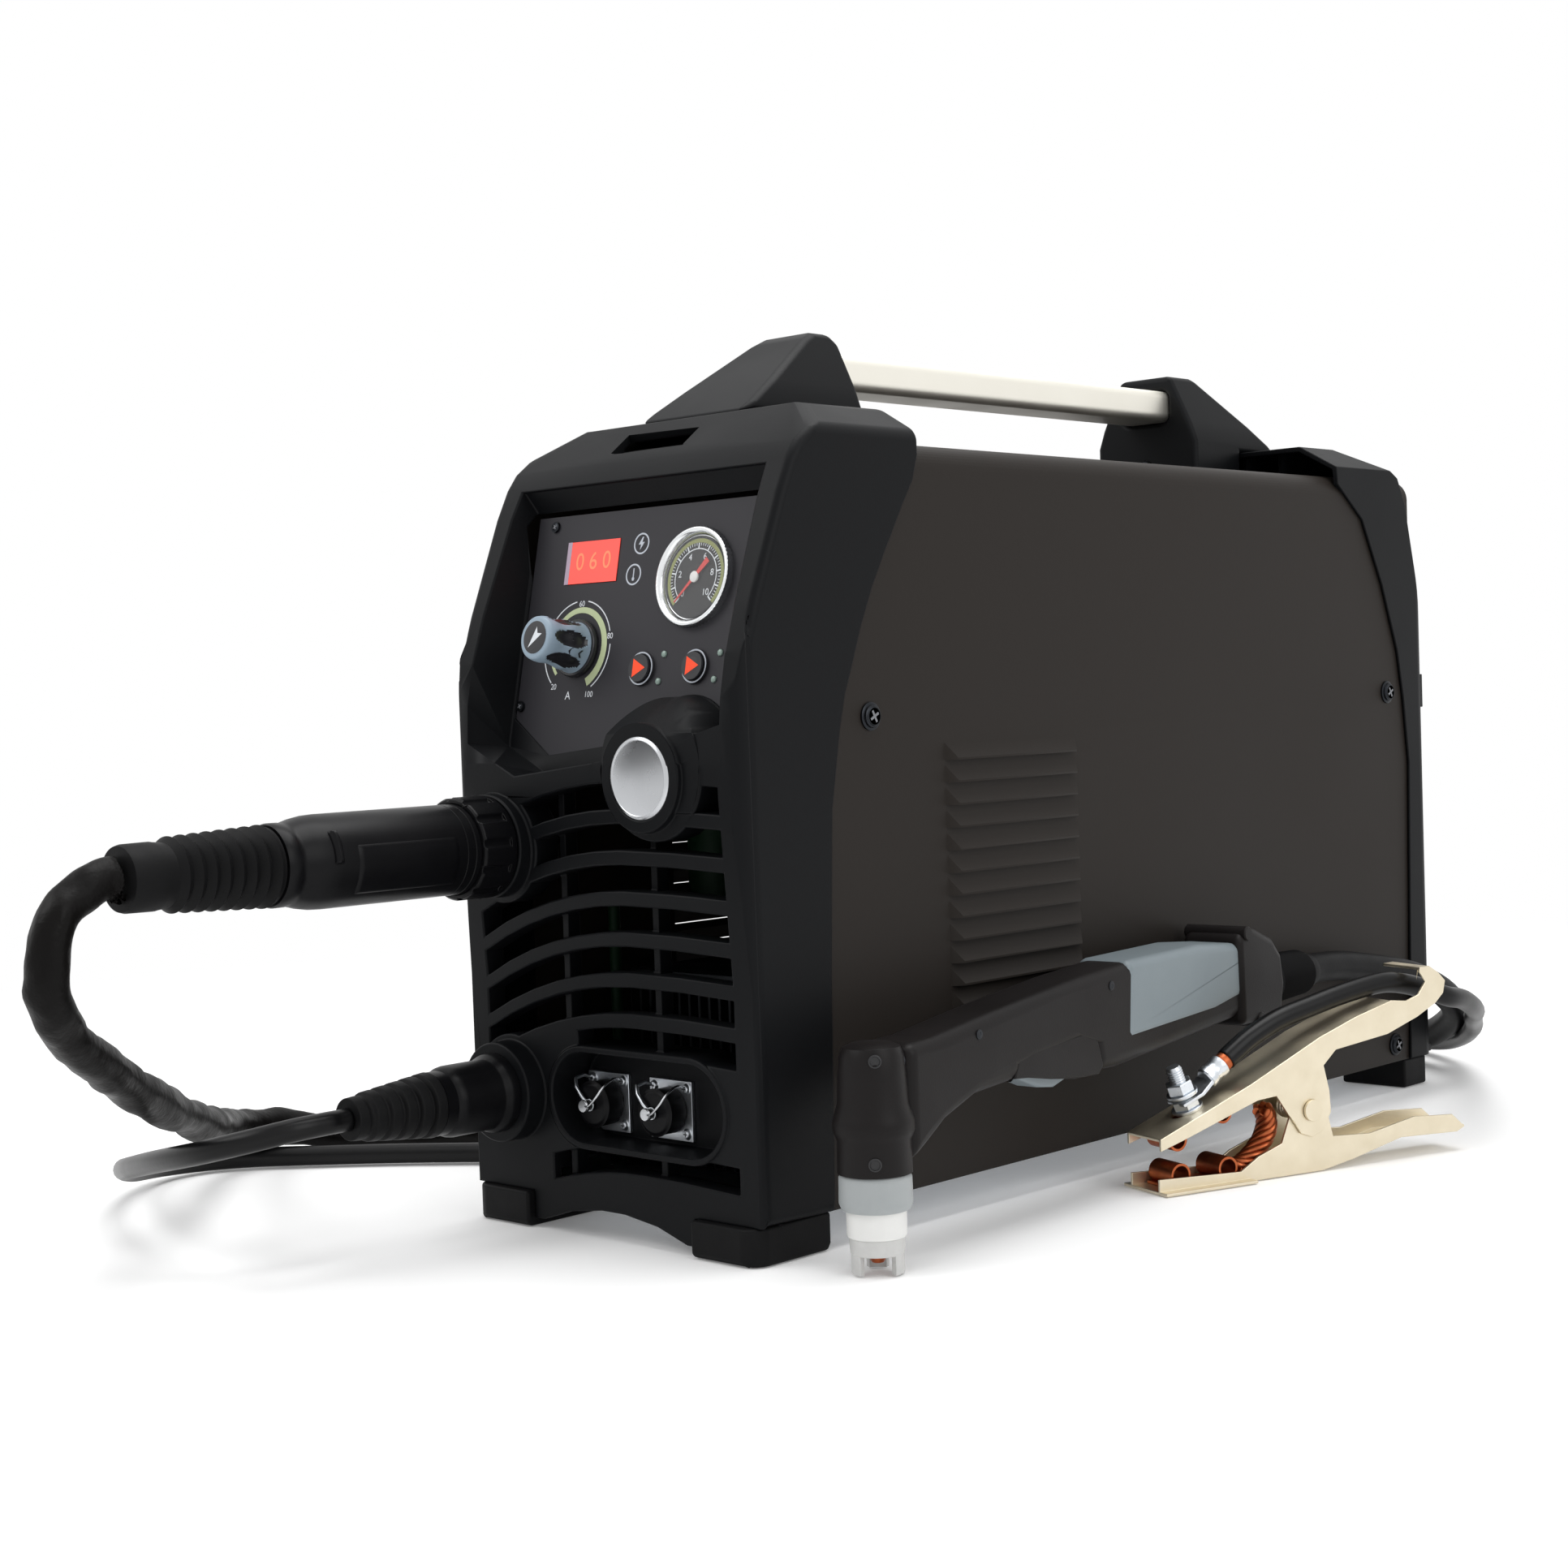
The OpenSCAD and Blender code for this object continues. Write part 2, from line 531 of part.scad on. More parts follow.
module torch_connector() color([0.11, 0.11, 0.12]) to_front(socket_x, boss_y - 1, torch_z) difference() {
  union() {
    cylinder(r = plug_r, h = plug_len - 1, $fn = 64);
    translate([0, 0, plug_len - 1]) cylinder(r1 = plug_r, r2 = plug_r - 1.5, h = 5);
    translate([0, 0, plug_len + 4]) cylinder(r = plug_r - 1.5, h = 6);
    translate([plug_r * 0.6, -plug_r * 0.62, nut_len + 12]) cube([5, 3, 60]);
  }
  translate([0, 0, -1]) cylinder(r = 14, h = 14);
}
bellows_y = plug_y - 11;
bellows = [for (i = [0:7]) each [[17.6 - 0.3 * i, 1 + 8.2 * i], [17.6 - 0.3 * i, 6 + 8.2 * i],
  [15.4 - 0.3 * i, 7 + 8.2 * i], [15.4 - 0.3 * i, 8.4 + 8.2 * i]]];
module torch_bellows() color([0.1, 0.1, 0.11]) to_front(socket_x, bellows_y + 1, torch_z)
  rotate_extrude() polygon(concat([[0, 1]], bellows, [[13.5, 68], [13.5, 74], [0, 74]]));
sleeve_y = bellows_y + 1 - 74;

// ---------- earth connector ----------
module earth_socket() color([0.75, 0.6, 0.3]) to_front(socket_x, -286, earth_z) {
  cylinder(r = 11, h = 21.9);
  translate([0, 0, -4]) cylinder(r = 15, h = 4);
  translate([0, 0, 21.9]) cylinder(r = 4.5, h = 10, $fn = 32);
}
plug_end_y = -349;
module earth_plug() color([0.1, 0.1, 0.1]) to_front(socket_x, boss_y - free_gap, earth_z) difference() {
  union() {
    cylinder(r = 19, h = 4);
    translate([0, 0, 4]) cylinder(r1 = 19, r2 = 17, h = 3);
    translate([0, 0, 7]) cylinder(r = 17, h = 34 - free_gap);
  }
  translate([0, 0, -1]) cylinder(r = 4.5 + run_gap, h = 12, $fn = 32);
}
boot = [for (i = [0:4]) each [[15.5 - 0.9 * i, 8 * i], [15 - 0.9 * i, 5 + 8 * i],
  [12.6 - 0.7 * i, 6 + 8 * i], [12.4 - 0.7 * i, 8 + 8 * i]]];
module earth_boot() color([0.1, 0.1, 0.1]) to_front(socket_x, plug_end_y, earth_z)
  rotate_extrude() polygon(concat([[0, 0]], boot, [[10.2, 40.5], [9.8, 46], [0, 46]]));
earth_exit_y = plug_end_y - 46;

// ---------- small signal sockets ----------
module port_sockets() color([0.62, 0.65, 0.7]) {
  intersection() {
    for (x = port_x) {
      along_y(tub_floor - 2, tub_floor) translate([x - 14, port_z - 14]) square(28);
      for (sx = [-10.5, 10.5], sz = [-10.5, 10.5]) to_front(x + sx, tub_floor - 1.9, port_z + sz)
        cylinder(r1 = 2.6, r2 = 1.8, h = 1.7, $fn = 24);
    }
    along_y(tub_floor - 5, tub_floor + 1) obround(tub_x, tub_z, 113.4, 42.4);
  }
  for (x = port_x) to_front(x, tub_floor, port_z) {
    translate([0, 0, -15]) cylinder(r = 8.95, h = 16);
    cylinder(r = 8, h = 10);
  }
  for (x = port_x) {
    to_front(x, tub_floor - 14.2, port_z) linear_extrude(0.9) ring2(3, 1.4, $fn = 24);
    sweep([[x - 2.4, -289.7, port_z + 1.6], [x - 5, -290, port_z + 4], [x - 9, -289.5, port_z + 8],
      [x - 12.6, -286.5, port_z + 11.4], [x - 12.6, -281, port_z + 12.2],
      [x - 11, -278.4, port_z + 11]], 0.9, 8);
  }
}
module cap_at(x) to_front(x, tub_floor, port_z) {
  difference() {
    union() {
      translate([0, 0, 2 + free_gap]) cylinder(d = cap_d, h = 10);
      translate([0, 0, 12.2]) cylinder(d1 = cap_d, d2 = cap_d - 3, h = 1.2);
    }
    translate([0, 0, 1]) cylinder(r = 8 + run_gap, h = 9.6);
  }
  translate([0, 0, 13.3]) cylinder(r = 1, h = 2.6, $fn = 24);
  translate([0, 0, 15.7]) cylinder(r = 2.6, h = 1.2, $fn = 24);
}
module cap_left() color([0.1, 0.1, 0.1]) cap_at(port_x[0]);
module cap_right() color([0.1, 0.1, 0.1]) cap_at(port_x[1]);

// ---------- swept tubes ----------
function vlen(v) = sqrt(v * v);
function unit(v) = v / vlen(v);
function spline(p0, p1, p2, p3, t) = 0.5 * ((2 * p1) + (p2 - p0) * t
  + (2 * p0 - 5 * p1 + 4 * p2 - p3) * t * t + (3 * p1 - p0 - 3 * p2 + p3) * t * t * t);
function smooth(p, k) = let (n = len(p)) [for (i = [0:n - 2], j = [0:k - 1])
  spline(p[max(i - 1, 0)], p[i], p[i + 1], p[min(i + 2, n - 1)], j / k), p[n - 1]];
function heading(p, i) = unit(p[min(i + 1, len(p) - 1)] - p[max(i - 1, 0)]);
function side_of(d) = let (c = cross([0, 0, 1], d)) vlen(c) < 0.05 ? [1, 0, 0] : unit(c);
function rings(p, r, n) = [for (i = [0:len(p) - 1]) let (d = heading(p, i), s = side_of(d),
  u = cross(d, s), ri = is_list(r) ? r[i] : r)
  for (k = [0:n - 1]) p[i] + ri * (cos(360 * (k + 0.5) / n) * s + sin(360 * (k + 0.5) / n) * u)];
module sweep(p, r, n) {
  m = len(p);
  polyhedron(rings(p, r, n), concat(
    [[for (k = [0:n - 1]) k]],
    [for (i = [0:m - 2], k = [0:n - 1]) [i * n + k, (i + 1) * n + k, (i + 1) * n + (k + 1) % n, i * n + (k + 1) % n]],
    [[for (k = [n - 1:-1:0]) (m - 1) * n + k]]), convexity = 12);
}

torch_at = [half_w + 46, -272, 0];
torch_turn = 94.1;
clamp_at = [half_w + 57.5, -74.5, 0];
clamp_turn = 71;
clamp_mid = clamp_w / 2;
relief_z = 87.5;
relief_end = torch_pt(400, 0, relief_z);
tail_way = [cos(torch_turn), sin(torch_turn), 0];
tail_start = clamp_pt(199, clamp_mid, 79.3);

// Torch lead: leather sleeve from the cuff, then bare hose into the coil
sleeve_path = [[socket_x, sleeve_y, torch_z], [-68, -514, 183.3], [-67, -525, 180], [-65.5, -538, 170],
  [-65.5, -543, 152], [-71, -540, 134], [-87, -522, 116], [-112, -488, 95], [-145, -447, 74],
  [-184, -404, 56], [-222, -368, 43], [-258, -338, 34], [-286, -309, 28], [-297, -282, 23.5],
  [-293, -256, 16], [-277, -230, 11.5], [-250, -204, 11], [-225, -170, 11], [-200, -130, 10],
  [-176, -86, 9]];
torch_coil_c = [-262, 10];
torch_out = 122;
torch_step = hose_d + 0.6;
torch_turns = 3;
start_deg = -30;
floor_lift = 0.2;
function coil_path(c, r_out, step, d, turns, a0) = let (n = 24 * turns, r_in = r_out - step * turns)
  [for (i = [0:2 * n]) let (k = i <= n ? i : 2 * n - i, r = r_out - step * k / 24,
    a = a0 + 15 * i, climb = min(1, max(0, (i - n + 2) / 4)),
    z = floor_lift + d / 2 + step * climb)
    [c[0] + r * cos(a), c[1] + r * sin(a), z]];
torch_coil_path = coil_path(torch_coil_c, torch_out, torch_step, hose_d, torch_turns, start_deg);
earth_coil_c = [-222, 250];
earth_out = 78;
earth_step = cable_d + 0.6;
earth_coil_path = coil_path(earth_coil_c, earth_out, earth_step, cable_d, 3, 0);
function seg_gap(p, d, skip) = min([for (i = [0:3:len(p) - 1], j = [i + skip:1:len(p) - 1]) vlen(p[i] - p[j])]) - d;
echo(torch_coil_gap = seg_gap(torch_coil_path, hose_d, 12));
echo(earth_coil_gap = seg_gap(earth_coil_path, cable_d, 12));
tc0 = torch_coil_path[0];
tc1 = torch_coil_path[len(torch_coil_path) - 1];
ec0 = earth_coil_path[0];
ec1 = earth_coil_path[len(earth_coil_path) - 1];
sleeve_line = concat(smooth(sleeve_path, 2), [tc0]);
sleeve_radii = [for (i = [0:len(sleeve_line) - 1]) i < 35 ? sleeve_d / 2 : hose_d / 2];
module torch_sleeve() color([0.13, 0.11, 0.1]) sweep(sleeve_line, sleeve_radii, 10);
module torch_coil() color([0.1, 0.1, 0.1]) sweep(torch_coil_path, hose_d / 2, 6);
tail_path = concat([tc1], [[-136, -12, 26], [-122, 30, 24], [-118, 80, 21.5], [-118, 140, 21.5],
  [-118, 200, 21], [-118, 240, 18], [-116, 272, 12], [-108, 308, 9], [-90, 340, 9], [-60, 357, 9],
  [-20, 364, 9], [20, 364, 10], [52, 356, 15], [81, 339, 27], [106, 311, 43], [115, 275, 60],
  [115.5, 238, 73], [113, 198, 81], [112.2, 164, 86], relief_end + tail_way * 12, relief_end]);
module torch_tail() color([0.1, 0.1, 0.1]) sweep(smooth(tail_path, 2), hose_d / 2, 8);

// Earth lead: from the boot to the coil, then round the rear to the clamp
earth_path = [[socket_x, earth_exit_y, earth_z], [socket_x, -402, earth_z], [socket_x, -409, earth_z],
  [-71, -425, 64], [-84, -440, 60],
  [-108, -449, 54], [-150, -444, 45], [-200, -426, 34], [-250, -401, 23], [-288, -372, 13],
  [-310, -342, 8], [-312, -312, 6], [-296, -288, 6], [-270, -264, 6], [-240, -238, 6], [-208, -214, 6],
  [-172, -188, 6], [-142, -156, 6], [-120, -118, 6], [-110, -70, 6], [-108, 0, 6], [-108, 70, 6],
  [-111, 130, 6], [-124, 185, 6], [-140, 225, 6], ec0];
module earth_lead() color([0.06, 0.06, 0.06]) sweep(smooth(earth_path, 2), cable_d / 2, 8);
module earth_coil() color([0.06, 0.06, 0.06]) sweep(earth_coil_path, cable_d / 2, 6);
earth_rear_path = concat([ec1], [[-144, 285, 15], [-140, 325, 9], [-126, 362, 6.5], [-98, 390, 6],
  [-60, 406, 6], [-25, 410, 6], [10, 406, 6.5], [38, 394, 8], [62, 377, 11.5], [84, 355, 18],
  [107, 324, 27], [132, 284, 38.5], [155, 240, 51], [180, 195, 61], [196, 160, 69.5], [203, 136, 76],
  tail_start]);
module earth_rear() color([0.06, 0.06, 0.06]) sweep(smooth(earth_rear_path, 2), cable_d / 2, 8);

// ---------- torch ----------
function torch_pt(t, y, z) = torch_at + [t * cos(torch_turn) - y * sin(torch_turn),
  t * sin(torch_turn) + y * cos(torch_turn), z];
module in_torch(t = 0, z = 0) translate(torch_at) rotate([0, 0, torch_turn]) translate([t, 0, z]) children();
module slab(w) rotate([90, 0, 0]) translate([0, 0, -w / 2]) linear_extrude(w) children();
handle_line = [[0, 99], [29, 99.3], [80, 105.5], [145, 112], [195, 115.3], [260, 116], [294, 113],
  [330, 105], [330, 78], [292, 74], [230, 69], [179, 65], [134, 66.7], [120, 69], [98, 72], [60, 69.7],
  [35, 61.7], [22, 54], [12, 46], [0, 44]];
grip_line = [[190, 120], [318, 120], [318, 92], [312, 88.5], [272, 83.9], [190, 80.6], [184, 86]];
grip_core = [[180, 111.3], [260, 113], [294, 110], [320, 103], [320, 70], [180, 70]];
module grip_solid(w) difference() {
  intersection() {
    slab(w) polygon(grip_line);
    slab(w) polygon(handle_line);
  }
  slab(grip_w - 6) polygon(grip_core);
}
trigger_pivot = [100, 73];
module torch_body() color([0.23, 0.2, 0.2]) in_torch() {
  difference() {
    intersection() {
      slab(grip_w) polygon(handle_line);
      translate([0, 0, 30]) linear_extrude(100) {
        translate([30, -grip_w / 2]) square([300, grip_w]);
        translate([0, -head_r]) square([40, 2 * head_r]);
      }
    }
    grip_solid(grip_w + 2);
    slab(15) polygon([[92, 60], [92, 77], [160, 84], [160, 60]]);
    for (t = [4.6, 60, 172]) translate([t, -grip_w / 2 - 1, 92 + t * 0.08]) rotate([-90, 0, 0])
      cylinder(r = 2.4, h = 3, $fn = 24);
  }
  rotate_extrude() polygon([[0, 100.5], [8.5, 99.5], [11.5, 96], [13, 88], [14.5, 72], [17.2, 67],
    [17.2, 61], [head_r, 58], [head_r, 44], [0, 44]]);
  translate([trigger_pivot[0], -9, trigger_pivot[1]]) rotate([-90, 0, 0]) cylinder(r = 1.5, h = 18, $fn = 24);
}
module torch_grip() color([0.55, 0.6, 0.64]) in_torch() grip_solid(grip_w);
module torch_trigger() color([0.55, 0.6, 0.64]) in_torch() difference() {
  union() {
    slab(14) polygon([[96.5, 71], [97, 75.5], [104, 76], [150, 74], [156, 68], [152, 61], [133, 58.8],
      [112, 65]]);
    translate([trigger_pivot[0], -7, trigger_pivot[1]]) rotate([-90, 0, 0]) cylinder(r = 3.5, h = 14, $fn = 32);
  }
  translate([trigger_pivot[0], -10, trigger_pivot[1]]) rotate([-90, 0, 0])
    cylinder(r = 1.5 + run_gap, h = 20, $fn = 24);
}
module torch_collar() color([0.55, 0.56, 0.57]) in_torch() rotate_extrude()
  polygon([[0, 44], [15, 44], [head_r, 42], [head_r + 0.2, 31], [15, 28], [0, 28]]);
module torch_ring() color([0.9, 0.9, 0.9]) in_torch() rotate_extrude()
  polygon([[4, 28], [13.2, 28], [13.2, 17], [12.4, 16], [4, 16]]);
module drag_shield() color([0.85, 0.85, 0.84]) in_torch() difference() {
  rotate_extrude() polygon([[5.2, 16], [12, 16], [11.5, 0.8], [11, floor_lift], [8.6, floor_lift], [5.6, 10]]);
  for (a = [0:60:120]) rotate(a + 15) translate([-20, -4, -1]) cube([40, 8, 10]);
}
module torch_tip() color([0.7, 0.4, 0.25]) in_torch()
  rotate_extrude($fn = 32) polygon([[0, 16], [5, 16], [5, 9], [2.6, 4.7], [0, 4.7]]);
module torch_clamp() color([0.15, 0.14, 0.14]) in_torch() difference() {
  union() {
    slab(36) polygon([[292, 74], [293, 121], [308, 121], [334, 112], [349, 102], [349, 72], [330, 70]]);
    for (t = [303, 336]) translate([t, -20, 97 - (t - 303) * 0.15]) rotate([-90, 0, 0])
      cylinder(r = 5, h = 40, $fn = 32);
  }
  slab(grip_w) polygon(handle_line);
  translate([330, 0, relief_z]) rotate([0, 90, 0]) cylinder(r = relief_r, h = 30);
}
relief_r = 13;
module torch_relief() color([0.09, 0.09, 0.09]) in_torch(330, relief_z) rotate([0, 90, 0])
  rotate_extrude() polygon([[0, 0], [relief_r, 0], [relief_r, 19.5], [14.4, 20], [14.4, 25], [12.6, 34], [11, 60],
    [9, 70], [0, 70]]);

// ---------- earth clamp ----------
function clamp_pt(s, y, z) = clamp_at + [s * cos(clamp_turn) - y * sin(clamp_turn),
  s * sin(clamp_turn) + y * cos(clamp_turn), z];
module in_clamp() translate(clamp_at) rotate([0, 0, clamp_turn]) translate([0, clamp_w / 2, 0]) children();
pivot = [94, 32.2];
lower_side = [[0, 0.2], [0, 7.8], [50, 5.8], [61, 12], [76, 17], [84, 36], [90, 41.5], [98, 41.5], [104, 36],
  [109, 17], [133, 15.6], [163, 20.9], [189, 19.3], [197.4, 12.1], [192, 9.8], [154, 11.1], [122, 3.7],
  [102, 0.2]];
lower_web = [[0, 0.2], [102, 0.2], [122, 3.7], [154, 11.1], [192, 9.8], [197.4, 12.1], [196.5, 13.4],
  [191.6, 11.3], [154, 12.6], [121.6, 5.2], [102, 1.7], [0, 1.7]];
upper_side = [[0, 27.8], [0, 21.8], [18, 27.1], [60, 40.6], [72, 41.6], [79.5, 31], [82.7, 27.3],
  [87, 21], [94, 18.5], [101, 21], [106.5, 30], [105.8, 41], [102.5, 54], [110.6, 61.2], [145, 66],
  [150, 68], [152, 82.4], [148, 83.1], [124.6, 76.9], [100.4, 68.6], [56.2, 49.2]];
upper_web = [[0, 27.8], [56.2, 49.2], [100.4, 68.6], [124.6, 76.9], [148, 83.1], [148.4, 81.6],
  [125, 75.4], [101, 67.1], [56.8, 47.7], [0.5, 26.2]];
hook = [[148, 83.1], [158, 82], [166, 84.5], [171, 91], [167, 96.5], [167.5, 98.5], [174, 98.8],
  [180, 95], [184.5, 90.5], [183, 84], [177.7, 79.2], [165, 73], [145, 66]];
module lower_plates() for (y = [-clamp_mid + clamp_t + free_gap, clamp_mid - 2 * clamp_t - free_gap])
  translate([0, y + clamp_t, 0]) rotate([90, 0, 0]) linear_extrude(clamp_t) children();
module upper_plates() for (y = [-clamp_mid, clamp_mid - clamp_t])
  translate([0, y + clamp_t, 0]) rotate([90, 0, 0]) linear_extrude(clamp_t) children();
module clamp_lower() color([0.8, 0.74, 0.6]) in_clamp() {
  difference() {
    lower_plates() polygon(lower_side);
    translate([pivot[0], -30, pivot[1]]) rotate([-90, 0, 0]) cylinder(r = rivet_r, h = 60, $fn = 32);
  }
  slab(clamp_w - 2 * clamp_t - 2 * free_gap) polygon(lower_web);
  translate([0, -18, floor_lift]) cube([56, 36, clamp_t]);
}
module clamp_upper() color([0.8, 0.74, 0.6]) in_clamp() {
  difference() {
    upper_plates() polygon(upper_side);
    translate([pivot[0], -30, pivot[1]]) rotate([-90, 0, 0])
      cylinder(r = rivet_r + run_gap, h = 60, $fn = 32);
  }
  difference() {
    slab(clamp_w) polygon(upper_web);
    translate([22.6, 0, 31.5]) rotate([0, -14, 0]) translate([0, 0, -10]) cylinder(r = 4, h = 40, $fn = 32);
  }
  translate([0, -clamp_mid + clamp_t, 0]) rotate([90, 0, 0]) linear_extrude(clamp_t) polygon(hook);
  slab(clamp_w) polygon([[167.3, 97.1], [167.5, 98.5], [174, 98.8], [174, 97.3]]);
}
module clamp_rivet() color([0.7, 0.66, 0.56]) in_clamp() translate([pivot[0], 0, pivot[1]]) rotate([90, 0, 0]) {
  translate([0, 0, -clamp_mid - 0.3]) cylinder(r = rivet_r, h = clamp_w + 0.6, $fn = 32);
  for (s = [-1, 1]) translate([0, 0, s * (clamp_mid + 1.1) - 0.8]) cylinder(r = 5.5, h = 1.6, $fn = 32);
  for (i = [-3:3]) translate([0, 0, i * 2.1]) rotate_extrude() translate([5.4, 0]) circle(1.1, $fn = 12);
  translate([0, 0, -7.5]) difference() {
    cylinder(r = 4.8, h = 15, $fn = 32);
    translate([0, 0, -1]) cylinder(r = rivet_r - e, h = 17, $fn = 32);
  }
}
module copper_lower() color([0.54, 0.23, 0.13]) in_clamp() {
  translate([6, -9, clamp_t + floor_lift]) cube([52, 18, 1.6]);
  for (s = [17, 50]) difference() {
    translate([s, -9, 6.6]) rotate([-90, 0, 0]) cylinder(r = 3.6, h = 18, $fn = 32);
    translate([s, -10, 6.6]) rotate([-90, 0, 0]) cylinder(r = 2.2, h = 20, $fn = 32);
  }
  slab(12) polygon([[55, 2], [66, 7], [74, 13], [80, 22], [78, 31], [75.5, 31], [77, 23], [72, 15],
    [64, 9.2], [55, 3.6]]);
}
upper_lean = 20.9;
module copper_upper() color([0.54, 0.23, 0.13]) in_clamp() translate([0, 0, 27.8]) rotate([0, -upper_lean, 0]) {
  difference() {
    translate([4, -9, -clamp_t - 1.85]) cube([50, 18, 1.6]);
    translate([25, 0, -8]) cylinder(r = 6, h = 10, $fn = 32);
  }
  for (s = [14, 44]) difference() {
    translate([s, -9, -clamp_t - 4.6]) rotate([-90, 0, 0]) cylinder(r = 3.6, h = 18, $fn = 32);
    translate([s, -10, -clamp_t - 4.6]) rotate([-90, 0, 0]) cylinder(r = 2.2, h = 20, $fn = 32);
  }
}
module clamp_stud() color([0.72, 0.73, 0.72]) in_clamp() {
  translate([22.6, 0, 31.5]) rotate([0, -14, 0]) cylinder(r = 4 - e, h = 27.5, $fn = 32);
  translate([0, 0, 27.8]) rotate([0, -upper_lean, 0]) translate([31, 0, 0]) {
    translate([0, 0, 0.05]) cylinder(r = 7.5, h = 1.4, $fn = 32);
    translate([0, 0, 1.4]) cylinder(r = 7, h = 5, $fn = 6);
    translate([0, 0, 6.4]) cylinder(r = 7.5, h = 2, $fn = 32);
    translate([0, 0, 8.4]) cylinder(r = 7.5, h = 1.2, $fn = 32);
    translate([0, 0, 9.6]) cylinder(r = 7, h = 6, $fn = 6);
  }
  slab(14) polygon([[23, 44], [34, 48], [40, 54], [41.4, 52.6], [35, 46], [23, 41.8]]);
  translate([39, 0, 52]) rotate([0, 90 - 34, 0]) cylinder(r = 5.6, h = 15, $fn = 32);
}
earth_tail_path = concat([clamp_pt(51.44, clamp_mid, 60.39), clamp_pt(57, clamp_mid, 64.1),
  clamp_pt(68, clamp_mid, 70.5), clamp_pt(85, clamp_mid, 77.5), clamp_pt(104, clamp_mid, 82),
  clamp_pt(125, clamp_mid, 86.6), clamp_pt(147, clamp_mid, 90), clamp_pt(160, clamp_mid, 90.2),
  clamp_pt(174, clamp_mid, 87.5), clamp_pt(187, clamp_mid, 83.4)], [tail_start]);
module earth_tail() color([0.06, 0.06, 0.06]) sweep(smooth(earth_tail_path, 2), cable_d / 2, 8);

// ---------- inside the case ----------
floor_in = foot_h + sheet_t;
module fan_frame() color([0.1, 0.1, 0.1]) difference() {
  along_y(266, rear_y - 4) translate([fan_x, fan_z]) rounded_square(120, 120, 6);
  along_y(261, 295) translate([fan_x, fan_z]) circle(r = 57);
  for (sx = [-52.5, 52.5], sz = [-52.5, 52.5]) to_front(sx, rear_y, fan_z + sz) cylinder(r = 2.2, h = 40, $fn = 24);
}
module fan_spider() {
  to_front(fan_x, rear_y - 4, fan_z) cylinder(r = 18, h = 3);
  for (a = [45:90:315]) to_front(fan_x, rear_y - 4, fan_z) rotate(a) translate([0, -2, 0]) cube([57, 4, 3]);
  to_front(fan_x, rear_y - 5, fan_z) cylinder(r = 2, h = 18, $fn = 24);
}
module fan_rotor() color([0.14, 0.14, 0.14]) to_front(fan_x, rear_y - 7.5, fan_z) difference() {
  union() {
    cylinder(r = 20, h = 20);
    for (a = [0:51.4285:350]) rotate(a) translate([18, 0, 10]) rotate([38, 0, 0]) translate([0, -10, -1])
      cube([34, 20, 2]);
  }
  translate([0, 0, -1]) cylinder(r = 2 + run_gap, h = 18, $fn = 24);
}
module heatsink() color([0.7, 0.71, 0.72]) {
  for (i = [0:13]) translate([-70 + i * 7, -216, floor_in]) cube([1.6, 166, 90]);
  translate([-72, -216, floor_in + 90]) cube([96, 166, 6]);
}
module transformer() color([0.35, 0.25, 0.12]) {
  translate([-60, -20, floor_in]) cube([90, 100, 14]);
  translate([-52, -10, floor_in + 14]) cube([74, 80, 70]);
  translate([-60, 10, floor_in + 84]) cube([90, 40, 14]);
}
module circuit_board() color([0.1, 0.3, 0.16]) {
  translate([-80, -235, floor_in + 130]) cube([150, 440, 1.6]);
  for (x = [-70, 60], y = [-225, 195]) translate([x, y, floor_in]) cylinder(r = 3, h = 130.5, $fn = 24);
  for (y = [-180:45:0]) translate([-40, y, floor_in + 131]) cylinder(r = 15, h = 45, $fn = 32);
  translate([10, -200, floor_in + 131]) cube([40, 160, 40]);
}
module gas_valve() color([0.72, 0.6, 0.3]) {
  translate([48, 130, floor_in]) cube([30, 46, 26]);
  translate([50, 138, floor_in + 26]) cube([26, 26, 30]);
  to_rear(63, 176, floor_in + 13) cylinder(r = 5, h = 12, $fn = 32);
}

// ---------- rear fittings ----------
rear_face = rear_y + 2;
module power_switch() color([0.08, 0.08, 0.08]) translate([-45, rear_face + 1, 262]) rotate([0, 90, 0])
  difference() {
    union() {
      translate([0, 0, -5]) cylinder(r = 6, h = 10);
      translate([-11, 0, -4]) cube([11, 7, 8]);
    }
    translate([0, 0, -7]) cylinder(r = 1.5 + run_gap, h = 14, $fn = 24);
  }
module rear_fittings() color([0.13, 0.13, 0.14]) {
  difference() {
    translate([-56, 262, 247]) cube([22, rear_face + 1 - 262, 30]);
    translate([-51.5, 290, 253]) cube([13, 20, 18]);
  }
  difference() {
    translate([-58, rear_face, 245]) cube([26, 1.6, 34]);
    translate([-51.5, rear_face - 1, 250]) cube([13, 4, 24]);
  }
  translate([-52, rear_face + 1, 262]) rotate([0, 90, 0]) cylinder(r = 1.5, h = 14, $fn = 24);
  to_rear(40, 284, 50) difference() {
    union() {
      cylinder(r = gland_r, h = 22);
      translate([0, 0, rear_y - 284]) cylinder(r = 12, h = 5, $fn = 6);
      translate([0, 0, rear_y - 280]) cylinder(r1 = 11, r2 = 8.5, h = 14);
    }
    translate([0, 0, -1]) cylinder(r = 5, h = 40, $fn = 32);
  }
  fan_spider();
}
module gas_inlet() color([0.75, 0.62, 0.3]) to_rear(40, 284, 262) difference() {
  union() {
    cylinder(r = inlet_r + 2, h = 26);
    translate([0, 0, rear_y + 2 - 284]) cylinder(r = 11, h = 4, $fn = 6);
  }
  translate([0, 0, 10]) cylinder(r = inlet_r, h = 20);
}

